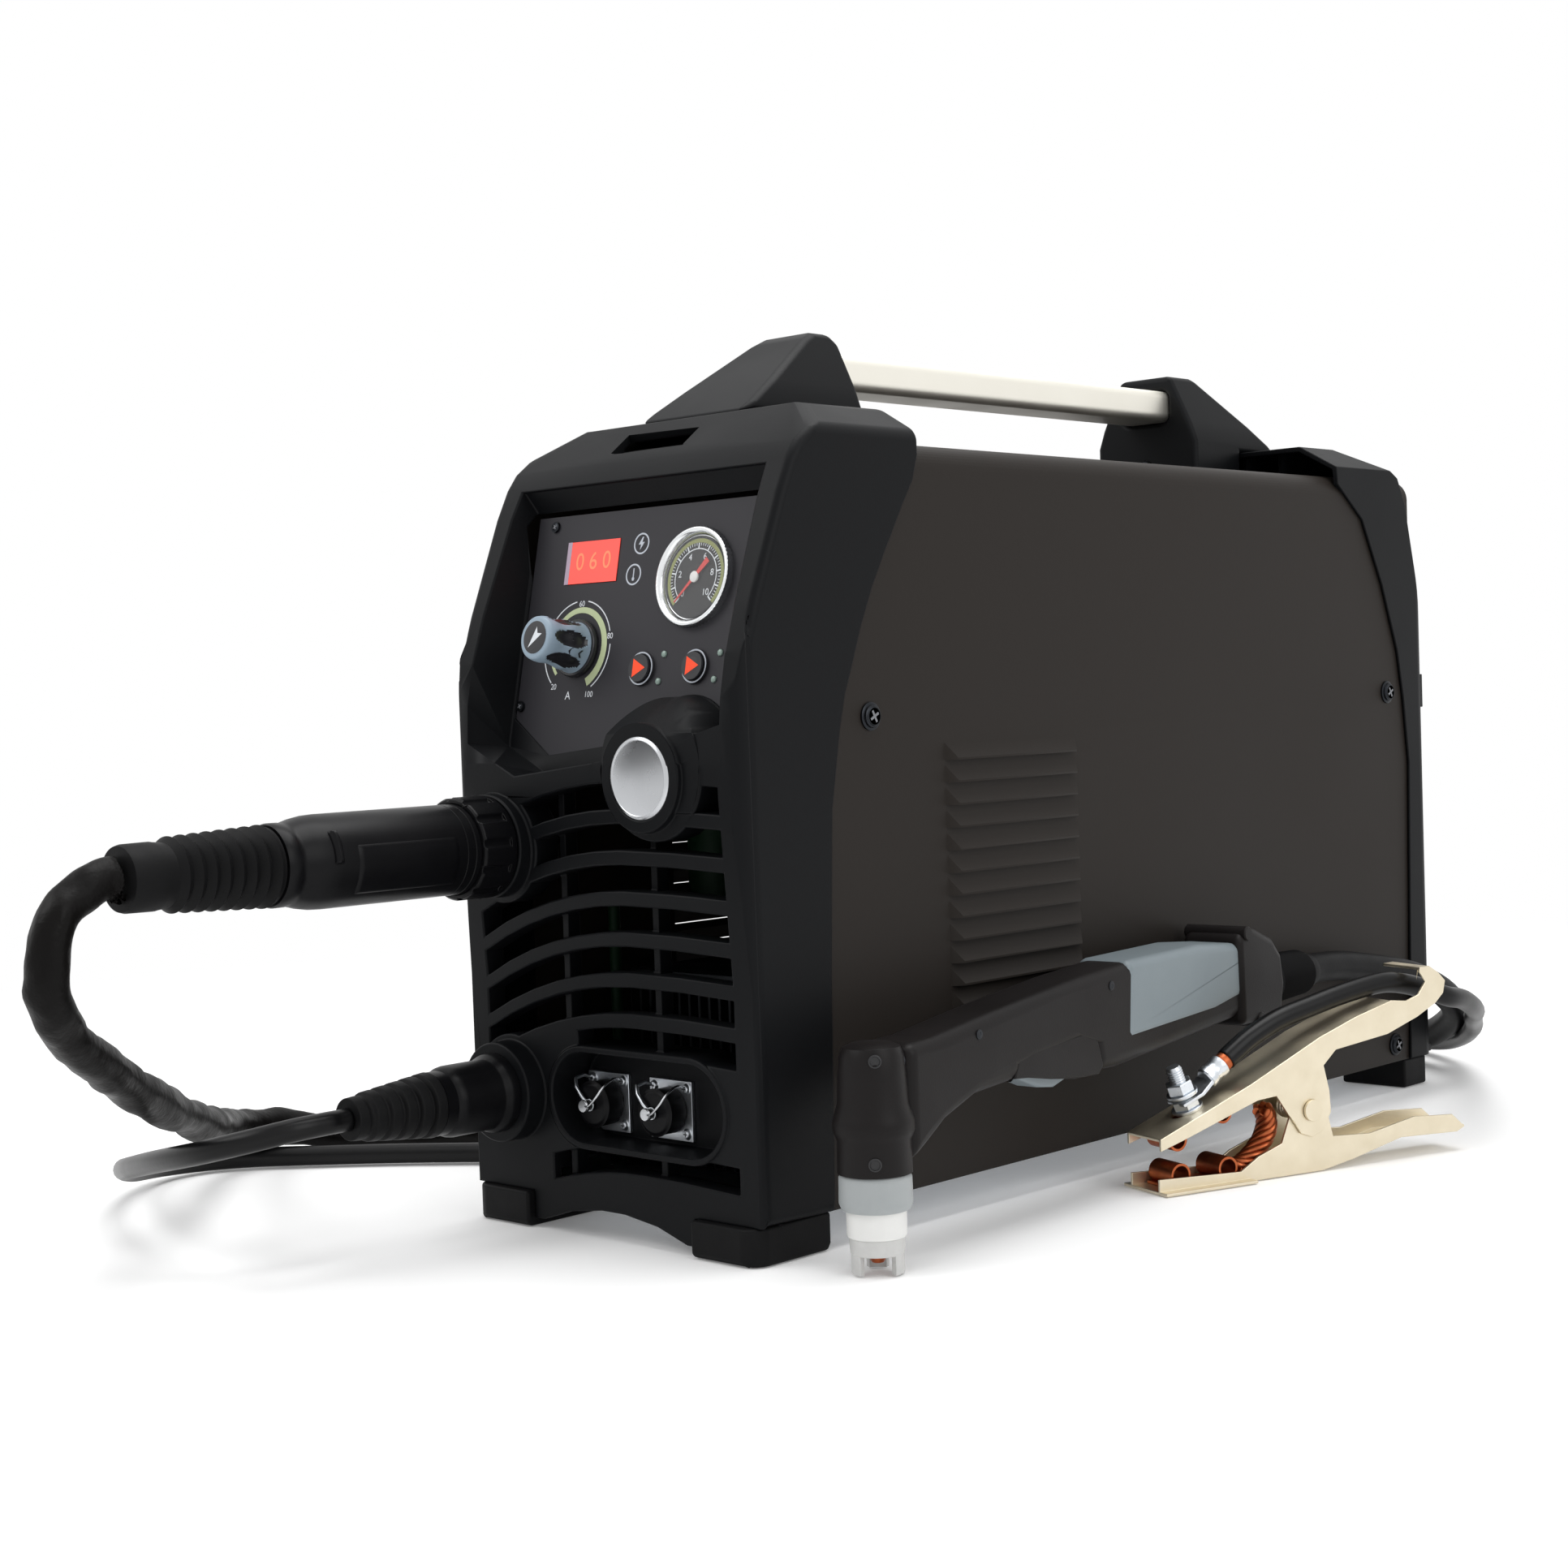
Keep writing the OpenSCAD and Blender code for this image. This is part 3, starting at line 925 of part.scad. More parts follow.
front_bezel();
rear_bezel();
cover();
base_plate();
feet();
control_panel();
case_screws();
display_window();
current_knob();
button_mode();
button_gas();
gauge_case();
gauge_needle();
gauge_glass();
badge();
handle_bar();
front_bracket();
rear_bracket();
torch_socket();
ring_nut();
torch_connector();
torch_bellows();
torch_sleeve();
torch_coil();
torch_tail();
earth_socket();
earth_plug();
earth_boot();
earth_lead();
earth_coil();
earth_rear();
earth_tail();
port_sockets();
cap_left();
cap_right();
torch_body();
torch_grip();
torch_trigger();
torch_collar();
torch_ring();
drag_shield();
torch_tip();
torch_clamp();
torch_relief();
clamp_lower();
clamp_upper();
clamp_rivet();
copper_lower();
copper_upper();
clamp_stud();
fan_frame();
fan_rotor();
heatsink();
transformer();
circuit_board();
gas_valve();
power_switch();
rear_fittings();
gas_inlet();
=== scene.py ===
"""Plasma cutter unit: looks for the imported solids. Metres, front is -Y, up is +Z."""

import json
import math

import bmesh
import bpy
from mathutils import Matrix, Vector, noise


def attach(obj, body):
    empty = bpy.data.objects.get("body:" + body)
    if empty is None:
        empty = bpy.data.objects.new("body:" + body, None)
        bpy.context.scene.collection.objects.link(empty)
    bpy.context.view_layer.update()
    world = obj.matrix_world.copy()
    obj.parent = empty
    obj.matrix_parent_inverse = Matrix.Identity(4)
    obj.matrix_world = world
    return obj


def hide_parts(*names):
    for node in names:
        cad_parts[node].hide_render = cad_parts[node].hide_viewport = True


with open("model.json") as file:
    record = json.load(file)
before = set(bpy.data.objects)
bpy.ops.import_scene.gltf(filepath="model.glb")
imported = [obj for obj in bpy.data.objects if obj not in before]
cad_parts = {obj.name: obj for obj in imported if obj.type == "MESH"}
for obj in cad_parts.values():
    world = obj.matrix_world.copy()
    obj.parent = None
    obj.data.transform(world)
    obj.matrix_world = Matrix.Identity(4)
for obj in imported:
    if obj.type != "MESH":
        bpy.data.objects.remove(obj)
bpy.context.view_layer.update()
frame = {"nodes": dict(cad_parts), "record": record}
MM = 0.001
def shift(x, y, z):
    """A move, in mm."""
    return Matrix.Translation((x * MM, y * MM, z * MM))


def swing(degrees, about):
    """A turn about an axis."""
    return Matrix.Rotation(math.radians(degrees), 4, about)


# ---------------------------------------------------------------- camera
# It stands off the front right corner and looks slightly down on the machine
CAM_AT = Vector((0.8394, -1.0569, 0.2532))
CAM_AZ, CAM_DIP, CAM_ROLL = math.radians(43.46), math.radians(2.19), math.radians(-1.95)
cam_data = bpy.data.cameras.new("camera")
cam_data.lens = 56.1
cam_data.sensor_width = 36
camera = bpy.data.objects.new("camera", cam_data)
bpy.context.scene.collection.objects.link(camera)
view = Vector((-math.sin(CAM_AZ) * math.cos(CAM_DIP), math.cos(CAM_AZ) * math.cos(CAM_DIP),
               -math.sin(CAM_DIP)))
right = Vector((math.cos(CAM_AZ), math.sin(CAM_AZ), 0))
up = right.cross(view)
tilted_right = math.cos(CAM_ROLL) * right + math.sin(CAM_ROLL) * up
tilted_up = -math.sin(CAM_ROLL) * right + math.cos(CAM_ROLL) * up
camera.matrix_world = Matrix.Translation(CAM_AT) @ Matrix(
    (tilted_right, tilted_up, -view)).transposed().to_4x4()
bpy.context.scene.camera = camera


# ---------------------------------------------------------------- cords
HOSE_D, SLEEVE_D, CABLE_D = 0.017, 0.0205, 0.011
SKIN = 0.0001  # how much slimmer the hose and the cable are drawn, at their radius
PER_TURN = 24  # points in one turn of a coil
FLOOR_GAP = 0.2
GLIDE_STEPS = 4


def spline_point(a, b, c, d, t):
    """Catmull-Rom between b and c."""
    bend, twist = 2 * a - 5 * b + 4 * c - d, 3 * b - a - 3 * c + d
    return 0.5 * (2 * b + (c - a) * t + bend * t * t + twist * t ** 3)


def glide(points, k):
    """A smooth line through points given in mm, with k steps between each two. Metres."""
    p = [Vector(q) * MM for q in points]
    last = len(p) - 1
    line = [spline_point(p[max(i - 1, 0)], p[i], p[i + 1], p[min(i + 2, last)], j / k)
            for i in range(last) for j in range(k)]
    return line + [p[last]]


def coil_line(centre, r_out, step, thick, turns, begin):
    """Points in mm of a coil that winds in on the floor and out again on top of itself."""
    half = PER_TURN * turns
    line = []
    for i in range(2 * half + 1):
        k = i if i <= half else 2 * half - i
        r = r_out - step * k / PER_TURN
        a = math.radians(begin + 360 / PER_TURN * i)
        z = FLOOR_GAP + thick / 2 + step * min(1, max(0, (i - half + 2) / 4))
        line.append((centre[0] + r * math.cos(a), centre[1] + r * math.sin(a), z))
    return line


def tube(name, line, radius, sides=20):
    """A closed round tube along a line. UV: once round it across, and metres along it."""
    mesh = bpy.data.meshes.new(name)
    made = bpy.data.objects.new(name, mesh)
    bpy.context.scene.collection.objects.link(made)
    bm = bmesh.new()
    uv = bm.loops.layers.uv.new("along")
    heading = (line[1] - line[0]).normalized()
    side = heading.cross(Vector((0, 0, 1)) if abs(heading.z) < 0.9 else Vector((1, 0, 0))).normalized()
    turns = [2 * math.pi * k / sides for k in range(sides)]
    rings, marks, along = [], [], 0.0
    for i, p in enumerate(line):
        ahead = (line[min(i + 1, len(line) - 1)] - line[max(i - 1, 0)]).normalized()
        side = (side - ahead * side.dot(ahead)).normalized()
        over = ahead.cross(side)
        along += (p - line[i - 1]).length if i else 0.0
        rings.append([bm.verts.new(p + radius * (math.cos(t) * side + math.sin(t) * over)) for t in turns])
        marks.append(along)
    for i in range(len(rings) - 1):
        for k in range(sides):
            face = bm.faces.new((rings[i][k], rings[i][(k + 1) % sides], rings[i + 1][(k + 1) % sides],
                                 rings[i + 1][k]))
            face.smooth = True
            for loop, u, v in zip(face.loops, (k, k + 1, k + 1, k), (i, i, i + 1, i + 1)):
                loop[uv].uv = (u / sides, marks[v])
    bm.faces.new(list(reversed(rings[0])))
    bm.faces.new(rings[-1])
    bm.normal_update()
    bm.to_mesh(mesh)
    bm.free()
    return made


# The torch and the earth clamp lie on the floor: where each one's own frame stands, and how it is turned
TORCH_AT, TORCH_TURN = (0.142, -0.272), math.radians(94.1)
CLAMP_AT, CLAMP_TURN = (0.1535, -0.0745), math.radians(71)
RELIEF_Z = 87.5  # height of the hose where it enters the torch
CLAMP_MIDDLE = 14  # from the clamp's own line across to its middle, in mm


def laid(at, turn, t, y, z):
    """A point in mm of a tool on the floor, along it, across it and up, put in the machine's frame in mm."""
    c, s = math.cos(turn), math.sin(turn)
    return (at[0] * 1000 + t * c - y * s, at[1] * 1000 + t * s + y * c, z)


def clamp_point(t, z):
    """A point in mm of the earth clamp's middle plane."""
    return laid(CLAMP_AT, CLAMP_TURN, t, CLAMP_MIDDLE, z)


torch_coil = coil_line((-262, 10), 122, 17.6, 17, 3, -30)
earth_coil = coil_line((-222, 250), 78, 11.6, 11, 3, 0)
sleeve_route = [(-68, -508, 183.5), (-68, -514, 183.3), (-67, -525, 180), (-65.5, -538, 170),
                (-65.5, -543, 152), (-71, -540, 134), (-87, -522, 116), (-112, -488, 95), (-145, -447, 74),
                (-184, -404, 56), (-222, -368, 43), (-258, -338, 34), (-286, -309, 28), (-297, -282, 23.5),
                (-293, -256, 16), (-277, -230, 11.5), (-250, -204, 11), (-225, -170, 11), (-200, -130, 10),
                (-176, -86, 9)]
tail_route = [(-136, -12, 26), (-122, 30, 24), (-118, 80, 21.5), (-118, 140, 21.5), (-118, 200, 21),
              (-118, 240, 18), (-116, 272, 12), (-108, 308, 9), (-90, 340, 9), (-60, 357, 9), (-20, 364, 9),
              (20, 364, 10), (52, 356, 15), (81, 339, 27), (106, 311, 43), (115, 275, 60), (115.5, 238, 73),
              (113, 198, 81), (112.2, 164, 86), laid(TORCH_AT, TORCH_TURN, 412, 0, RELIEF_Z),
              laid(TORCH_AT, TORCH_TURN, 400, 0, RELIEF_Z)]
earth_route = [(-68, -395, 65), (-68, -402, 65), (-68, -409, 65), (-71, -425, 64), (-84, -440, 60),
               (-108, -449, 54), (-150, -444, 45), (-200, -426, 34), (-250, -401, 23), (-288, -372, 13),
               (-310, -342, 8), (-312, -312, 6), (-296, -288, 6), (-270, -264, 6), (-240, -238, 6),
               (-208, -214, 6), (-172, -188, 6), (-142, -156, 6), (-120, -118, 6), (-110, -70, 6),
               (-108, 0, 6), (-108, 70, 6), (-111, 130, 6), (-124, 185, 6), (-140, 225, 6)]
rear_route = [(-144, 285, 15), (-140, 325, 9), (-126, 362, 6.5), (-98, 390, 6), (-60, 406, 6), (-25, 410, 6),
              (10, 406, 6.5), (38, 394, 8), (62, 377, 11.5), (84, 355, 18), (107, 324, 27), (132, 284, 38.5),
              (155, 240, 51), (180, 195, 61), (196, 160, 69.5), (203, 136, 76), clamp_point(199, 79.3)]
hook_route = [clamp_point(t, z) for t, z in (
    (187, 83.4), (174, 87.5), (160, 90.2), (147, 90), (125, 86.6), (104, 82), (85, 77.5), (68, 70.5),
    (57, 64.1), (51.44, 60.39))]

torch_line = glide(sleeve_route + torch_coil + tail_route, GLIDE_STEPS)
# The sleeve ends half way from its route's eighteenth point to the next; the hose starts a step inside it
sleeve_end = GLIDE_STEPS * 17 + 2
sleeve_line, hose_line = torch_line[:sleeve_end + 1], torch_line[sleeve_end - 1:]
sleeve = tube("leather_sleeve", sleeve_line, SLEEVE_D / 2, 24)
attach(sleeve, "machine")
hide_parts("torch_sleeve")
hose = tube("torch_hose", hose_line, HOSE_D / 2 - SKIN, 20)
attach(hose, "machine")
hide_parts("torch_coil", "torch_tail")
earth_line = glide(earth_route + earth_coil + rear_route + hook_route, GLIDE_STEPS)
earth = tube("earth_cable", earth_line, CABLE_D / 2 - SKIN, 16)
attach(earth, "machine")
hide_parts("earth_lead", "earth_coil", "earth_rear", "earth_tail")
# ---------------------------------------------------------------- materials
def linear(code):
    """sRGB hex to linear RGBA."""
    parts = [int(code[i:i + 2], 16) / 255 for i in (1, 3, 5)]
    return tuple(c / 12.92 if c <= 0.04045 else ((c + 0.055) / 1.055) ** 2.4 for c in parts) + (1.0,)


def put(tree, kind, props=None, inputs=None):
    """Adds one node. An input is a value, or a socket to link from."""
    made = tree.nodes.new(kind)
    for name, value in (props or {}).items():
        setattr(made, name, value)
    for name, value in (inputs or {}).items():
        if isinstance(value, bpy.types.NodeSocket):
            tree.links.new(value, made.inputs[name])
        else:
            made.inputs[name].default_value = value
    return made


def start(name, shader):
    """A new material with its Principled shader set, and its tree."""
    mat = bpy.data.materials.new(name)
    mat.use_nodes = True
    tree = mat.node_tree
    tree.nodes.clear()
    bsdf = put(tree, "ShaderNodeBsdfPrincipled", inputs=shader)
    put(tree, "ShaderNodeOutputMaterial", inputs={"Surface": bsdf.outputs[0]})
    return mat, tree, bsdf


def finish(name, base, second, patch=60, grain=1.2, depth=0.05, rough=(0.4, 0.5), shine=0.5, **shader):
    """A plain surface in two close tones. Patch and grain are sizes and depth the grain's height, in mm.

    Clouds the size of the patch mix the tones and vary the roughness, and shine is how strongly the surface
    reflects. The real grain of a moulding or a coating is about 0.1 mm, too fine to show in the render, so it
    is drawn about ten times as coarse.
    """
    mat, tree, bsdf = start(name, {"Specular IOR Level": shine, **shader})
    place = put(tree, "ShaderNodeTexCoord").outputs["Object"]
    clouds = put(tree, "ShaderNodeTexNoise", inputs={"Vector": place, "Scale": 1000 / patch, "Detail": 3.0})
    tone = put(tree, "ShaderNodeMix", {"data_type": "RGBA"},
               {0: clouds.outputs[0], 6: linear(base), 7: linear(second)})
    tree.links.new(tone.outputs[2], bsdf.inputs["Base Color"])
    gloss = put(tree, "ShaderNodeMapRange", inputs={"Value": clouds.outputs[0], "From Min": 0.3,
                                                    "From Max": 0.7, "To Min": rough[0], "To Max": rough[1]})
    tree.links.new(gloss.outputs[0], bsdf.inputs["Roughness"])
    fine = put(tree, "ShaderNodeTexNoise", inputs={"Vector": place, "Scale": 1000 / grain, "Detail": 2.0})
    bump = put(tree, "ShaderNodeBump", inputs={"Height": fine.outputs[0], "Distance": depth * MM,
                                               "Strength": 0.7})
    tree.links.new(bump.outputs[0], bsdf.inputs["Normal"])
    return mat


# ABS, moulded in a spark eroded tool: an even fine grain that greys the sheen
ABS = finish("abs_moulding", "#0b0c0e", "#0f1012", 80, 1.1, 0.05, (0.42, 0.5), 0.1)
# Powder coat, baked on sheet steel: a shallow orange peel and a warm dark tone
POWDER = finish("powder_coat", "#221e1b", "#272320", 140, 1.8, 0.04, (0.45, 0.53), 0.125)
# Sheet steel, zinc plated in a bath: cloudy pale grey
ZINC = finish("zinc_plate", "#dde1e5", "#c3c8ce", 9, 1.5, 0.02, (0.26, 0.4), Metallic=1.0)
# Steel screws, zinc plated and passivated dark: bluish, with a soft glint
SCREW = finish("passivated_screw", "#303236", "#26282b", 4, 0.8, 0.02, (0.3, 0.42), Metallic=1.0)
# Rubber, vulcanised in a mould: matt with a dusty bloom
RUBBER = finish("rubber", "#0a0a0b", "#101011", 14, 0.9, 0.06, (0.48, 0.6), 0.11)
# Polyester film, printed and stuck on the panel: even and matt
FILM = finish("panel_film", "#2a292d", "#2e2d31", 90, 0.7, 0.02, (0.45, 0.52), 0.25)
# ABS of the torch's grip and trigger, coloured and moulded: blue grey, soft light
GREY_ABS = finish("grey_abs", "#7b868b", "#737d82", 40, 1.0, 0.04, (0.4, 0.5))
# Elastomer of the knob, moulded over a hard core: blue grey and silky
KNOB = finish("knob_skin", "#90a3b2", "#8698a7", 12, 0.8, 0.03, (0.4, 0.48))
# Nylon of the connectors and caps, moulded smooth: black, glossy along its edges
NYLON = finish("black_nylon", "#08080a", "#0c0c0e", 30, 1.0, 0.03, (0.3, 0.4), 0.125)
# PVC, extruded round the earth cable: smooth, with a long soft highlight
PVC = finish("pvc_sheath", "#060607", "#0b0b0c", 60, 2.5, 0.05, (0.28, 0.4), 0.2)
# Rubber, extruded as the torch's hose: duller than the cable
HOSE = finish("rubber_hose", "#0b0b0c", "#101011", 40, 1.4, 0.08, (0.42, 0.55), 0.11)
# Aluminium of the bar, drawn and anodised: pale, even and satin
BAR = finish("anodised_bar", "#f3f0e6", "#e9e6dc", 50, 1.4, 0.02, (0.4, 0.5), Metallic=1.0)
# Chromium, plated on the gauge's polished rim: near mirror with little haze
CHROME = finish("chrome", "#eceeef", "#e2e4e6", 12, 1.5, 0.005, (0.16, 0.24), Metallic=1.0)
# Stamped metal, satin finished: clear, but it blurs what it reflects
BADGE = finish("satin_badge", "#c4c6c9", "#b8babd", 20, 0.8, 0.01, (0.22, 0.3), Metallic=1.0)
# Brass, turned and left bare: warm yellow with a fine tool haze
BRASS = finish("turned_brass", "#b89a55", "#a5884a", 8, 1.0, 0.02, (0.28, 0.4), Metallic=1.0)
# Copper strip, rolled, bent and used: orange where rubbed, brown where darkened
COPPER = finish("worn_copper", "#c06c45", "#94492b", 5, 0.8, 0.05, (0.32, 0.46), Metallic=1.0)
# Pressed steel, zinc plated and passivated yellow: pale straw, cloudy
PLATED = finish("yellow_zinc_steel", "#e2d8c2", "#d3c8b0", 14, 1.2, 0.04, (0.36, 0.48), Metallic=1.0)
# Nylon of the torch's shells, moulded: near black, satin
SHELL = finish("torch_shell", "#131111", "#181515", 40, 0.9, 0.06, (0.38, 0.48), 0.14)
# Grey plastic collar, moulded: even satin
COLLAR = finish("grey_collar", "#979c9d", "#a1a5a6", 12, 0.9, 0.02, (0.35, 0.45))
# Ceramic ring, fired: white, with a soft even gloss
CERAMIC = finish("white_ring", "#e6e6e4", "#dededb", 9, 0.8, 0.01, (0.3, 0.4))
# Shield, moulded and frosted by use: hazy pale grey
SHIELD = finish("frosted_shield", "#cfcfcd", "#bdbdbb", 6, 0.7, 0.03, (0.35, 0.5))
# Glass laminate, coated with solder resist: dark green and even
BOARD = finish("circuit_board", "#0f2716", "#13301b", 20, 1.0, 0.02, (0.45, 0.55), 0.15)
# Wire and paper, wound and varnished: dark brown, nearly matt
WINDING = finish("winding", "#2a1a0d", "#201308", 6, 1.0, 0.1, (0.5, 0.65), 0.15)
# Aluminium fins, extruded and left dull: grey metal without reflections
FINS = finish("extruded_fins", "#4b4d50", "#414346", 30, 1.0, 0.02, (0.4, 0.55), Metallic=1.0)
# ABS of the buttons, moulded smooth: black, half gloss
BUTTON = finish("button", "#1b1b1e", "#212125", 10, 0.8, 0.01, (0.25, 0.32))
# Enamel, sprayed on the needle: flat bright red
RED = finish("needle_paint", "#d8261c", "#c41f17", 4, 0.8, 0.01, (0.4, 0.5))
# Acrylic window, tinted and lit from behind: an even red glow
DISPLAY = finish("display_window", "#f2584e", "#ee5046", 30, 2, 0.01, (0.2, 0.25), **{
    "Emission Color": linear("#ff5348"), "Emission Strength": 0.35})

# Flat clear glass, polished: only its gloss shows
GLASS = start("gauge_glass", {"Base Color": (1, 1, 1, 1), "Roughness": 0.03, "IOR": 1.45, "Alpha": 0.05})[0]
# Recesses in small screws, painted dark as the shade that fills them: no light comes back
RECESS_SHADE = finish("painted_recess_shade", "#0d0d0f", "#131316", 3, 0.5, 0.01, (0.5, 0.6))
# Inks, screen printed on the panel and the dial: thin, even and nearly matt
INK_GREY = finish("print_grey", "#c3c9d2", "#b9bfc9", 5, 0.5, 0.005, (0.45, 0.5))
INK_PALE = finish("print_white", "#e2e6ea", "#d8dce1", 5, 0.5, 0.005, (0.45, 0.5))
CRESCENT = finish("print_pale_green", "#c5d0a5", "#b8c498", 6, 0.5, 0.005, (0.45, 0.5))
OLIVE = finish("print_olive", "#8a9048", "#7d8342", 6, 0.5, 0.005, (0.45, 0.5))
# Enamel of the needle's hub and of the dial, sprayed and stoved: smooth, and the hub with a soft gloss
HUB_ENAMEL = finish("hub_enamel", "#e9e9e6", "#dededb", 4, 0.5, 0.005, (0.25, 0.35))
DIAL = finish("dial_enamel", "#161719", "#1b1c1f", 10, 0.7, 0.005, (0.4, 0.5), 0.15)
# Ink of the strip at the display's edge: pale lilac, even
LILAC = finish("print_lilac", "#b9a6b8", "#ac9aac", 6, 0.6, 0.005, (0.4, 0.5))
# Segments, lit behind the window: lighter than the window's own glow
FIGURE = finish("display_segments", "#ff8a63", "#ff7d5a", 6, 0.6, 0.005, (0.3, 0.4), **{
    "Emission Color": linear("#ff7a50"), "Emission Strength": 0.35})
# Fluorescent ink, printed on the buttons: orange, with a painted glow that makes it brighter than what lies
# round it
ORANGE_GLOW = finish("print_orange_painted_glow", "#ff4a12", "#f44410", 6, 0.6, 0.005, (0.4, 0.5), **{
    "Emission Color": linear("#ff4a12"), "Emission Strength": 0.12})
# Screw recess, scuffed by the driver: grey and dull
SLOT_GREY = finish("worn_recess", "#77797e", "#6a6c70", 3, 0.5, 0.01, (0.45, 0.55))
# Epoxy lens of an unlit lamp, cast clear: grey green, glossy
LAMP = finish("lamp_lens", "#8fa39a", "#81958c", 2, 0.4, 0.005, (0.15, 0.25))
# Hook and loop tie, woven: matt, its weave drawn coarse so that it shows
STRAP = finish("hook_and_loop", "#1b1b1c", "#28282a", 3, 1.2, 0.3, (0.8, 0.9))
# Split leather, sewn to a sleeve: brown black hide, soft creases and a scuffed sheen
LEATHER = finish("hide_sleeve", "#0c0a09", "#060505", 16, 3.5, 0.5, (0.34, 0.54), 0.1)
CAD_FINISH = {
    "cover": POWDER, "base_plate": ZINC, "feet": RUBBER, "control_panel": FILM, "case_screws": SCREW,
    "display_window": DISPLAY, "current_knob": GREY_ABS, "button_mode": BUTTON, "button_gas": BUTTON,
    "gauge_case": CHROME, "gauge_needle": RED, "gauge_glass": GLASS, "badge": BADGE, "handle_bar": BAR,
    "front_bracket": ABS, "rear_bracket": ABS, "front_bezel": ABS, "rear_bezel": ABS,
    "torch_socket": BRASS, "ring_nut": NYLON, "torch_connector": NYLON, "torch_bellows": RUBBER,
    "earth_socket": BRASS, "earth_plug": NYLON, "earth_boot": RUBBER, "port_sockets": ZINC,
    "cap_left": NYLON, "cap_right": NYLON, "torch_body": SHELL, "torch_grip": GREY_ABS,
    "torch_trigger": GREY_ABS, "torch_collar": COLLAR, "torch_ring": CERAMIC, "drag_shield": SHIELD,
    "torch_tip": COPPER, "torch_clamp": SHELL, "torch_relief": RUBBER, "clamp_lower": PLATED,
    "clamp_upper": PLATED, "clamp_rivet": PLATED, "copper_lower": COPPER, "copper_upper": COPPER,
    "clamp_stud": ZINC, "fan_frame": NYLON, "fan_rotor": NYLON, "heatsink": FINS, "transformer": WINDING,
    "circuit_board": BOARD, "gas_valve": BRASS, "power_switch": BUTTON, "rear_fittings": NYLON,
    "gas_inlet": BRASS, "torch_sleeve": HOSE, "torch_coil": HOSE, "torch_tail": HOSE, "earth_lead": PVC,
    "earth_coil": PVC, "earth_rear": PVC, "earth_tail": PVC}
for part, coat in CAD_FINISH.items():
    solid = frame["nodes"][part]
    solid.data.materials.clear()
    solid.data.materials.append(coat)


# ---------------------------------------------------------------- making
HOLDS = {part: body for body, parts in frame["record"]["behaviour"]["bodies"].items() for part in parts}


def pick(piece):
    """Selects one piece only."""
    bpy.ops.object.select_all(action="DESELECT")
    piece.select_set(True)
    bpy.context.view_layer.objects.active = piece


def edit(piece):
    """Opens a piece for editing with all of its mesh selected."""
    pick(piece)
    bpy.ops.object.mode_set(mode="EDIT")
    bpy.ops.mesh.select_mode(type="VERT")
    bpy.ops.mesh.select_all(action="SELECT")


def close():
    """Closes the piece that is open for editing."""
    bpy.ops.object.mode_set(mode="OBJECT")


def settle(piece, name, where, coat, part=None, body=None):
    """Names a piece, puts it at a place of the machine, and hands it to a body and a material slot.

    Its body is that of the CAD part it belongs to, unless a body is named, and a piece of no part goes to the
    machine.
    """
    piece.name = piece.data.name = name
    piece.matrix_world = where @ piece.matrix_world
    pick(piece)
    bpy.ops.object.transform_apply(location=True, rotation=True, scale=True)
    piece.data.materials.clear()
    piece.data.materials.append(coat)
    body = body or HOLDS.get(part, "machine")
    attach(piece, body)
    return piece


def soften(piece, width, angle=30, segments=2, share=None, crisp=38, shortest=0):
    """Rounds the sharp edges of a piece, each by its share of the width, and shades it smooth between them.

    Edges no longer than the shortest length, in mm, stay sharp.
    """
    if share:
        bm = bmesh.new()
        bm.from_mesh(piece.data)
        layers = bm.edges.layers.float
        weight = layers.get("bevel_weight_edge") or layers.new("bevel_weight_edge")
        for edge in bm.edges:
            bends = edge.calc_face_angle(0) > math.radians(angle) and edge.calc_length() > shortest * MM
            edge[weight] = share((edge.verts[0].co + edge.verts[1].co) / 2) if bends else 0.0
        bm.to_mesh(piece.data)
        bm.free()
    pick(piece)
    if width:
        round_off = piece.modifiers.new("round", "BEVEL")
        round_off.width, round_off.segments = width * MM, segments
        round_off.limit_method, round_off.angle_limit = "WEIGHT" if share else "ANGLE", math.radians(angle)
        round_off.use_clamp_overlap = False
        bpy.ops.object.modifier_apply(modifier="round")
    bpy.ops.object.shade_smooth_by_angle(angle=math.radians(crisp))
    piece.modifiers.new("even", "WEIGHTED_NORMAL").keep_sharp = True
    bpy.ops.object.modifier_apply(modifier="even")


def dress(part, width, angle=30, segments=2, share=None, crisp=38, shortest=0):
    """A copy of a CAD part's skin, its doubles merged, its flats made whole and its edges rounded."""
    piece = bpy.data.objects.new(part + "_skin", frame["nodes"][part].data.copy())
    bpy.context.scene.collection.objects.link(piece)
    edit(piece)
    bpy.ops.mesh.remove_doubles(threshold=0.00001)
    bpy.ops.mesh.dissolve_limited(angle_limit=math.radians(1.2))
    close()
    soften(piece, width, angle, segments, share, crisp, shortest)
    piece.data.materials.clear()
    piece.data.materials.append(CAD_FINISH[part])
    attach(piece, HOLDS[part])
    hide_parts(part)
    return piece


def coat_where(piece, coat, test):
    """Gives the faces whose middle passes a test their own coat."""
    piece.data.materials.append(coat)
    place = len(piece.data.materials) - 1
    for face in piece.data.polygons:
        if test(face.center):
            face.material_index = place


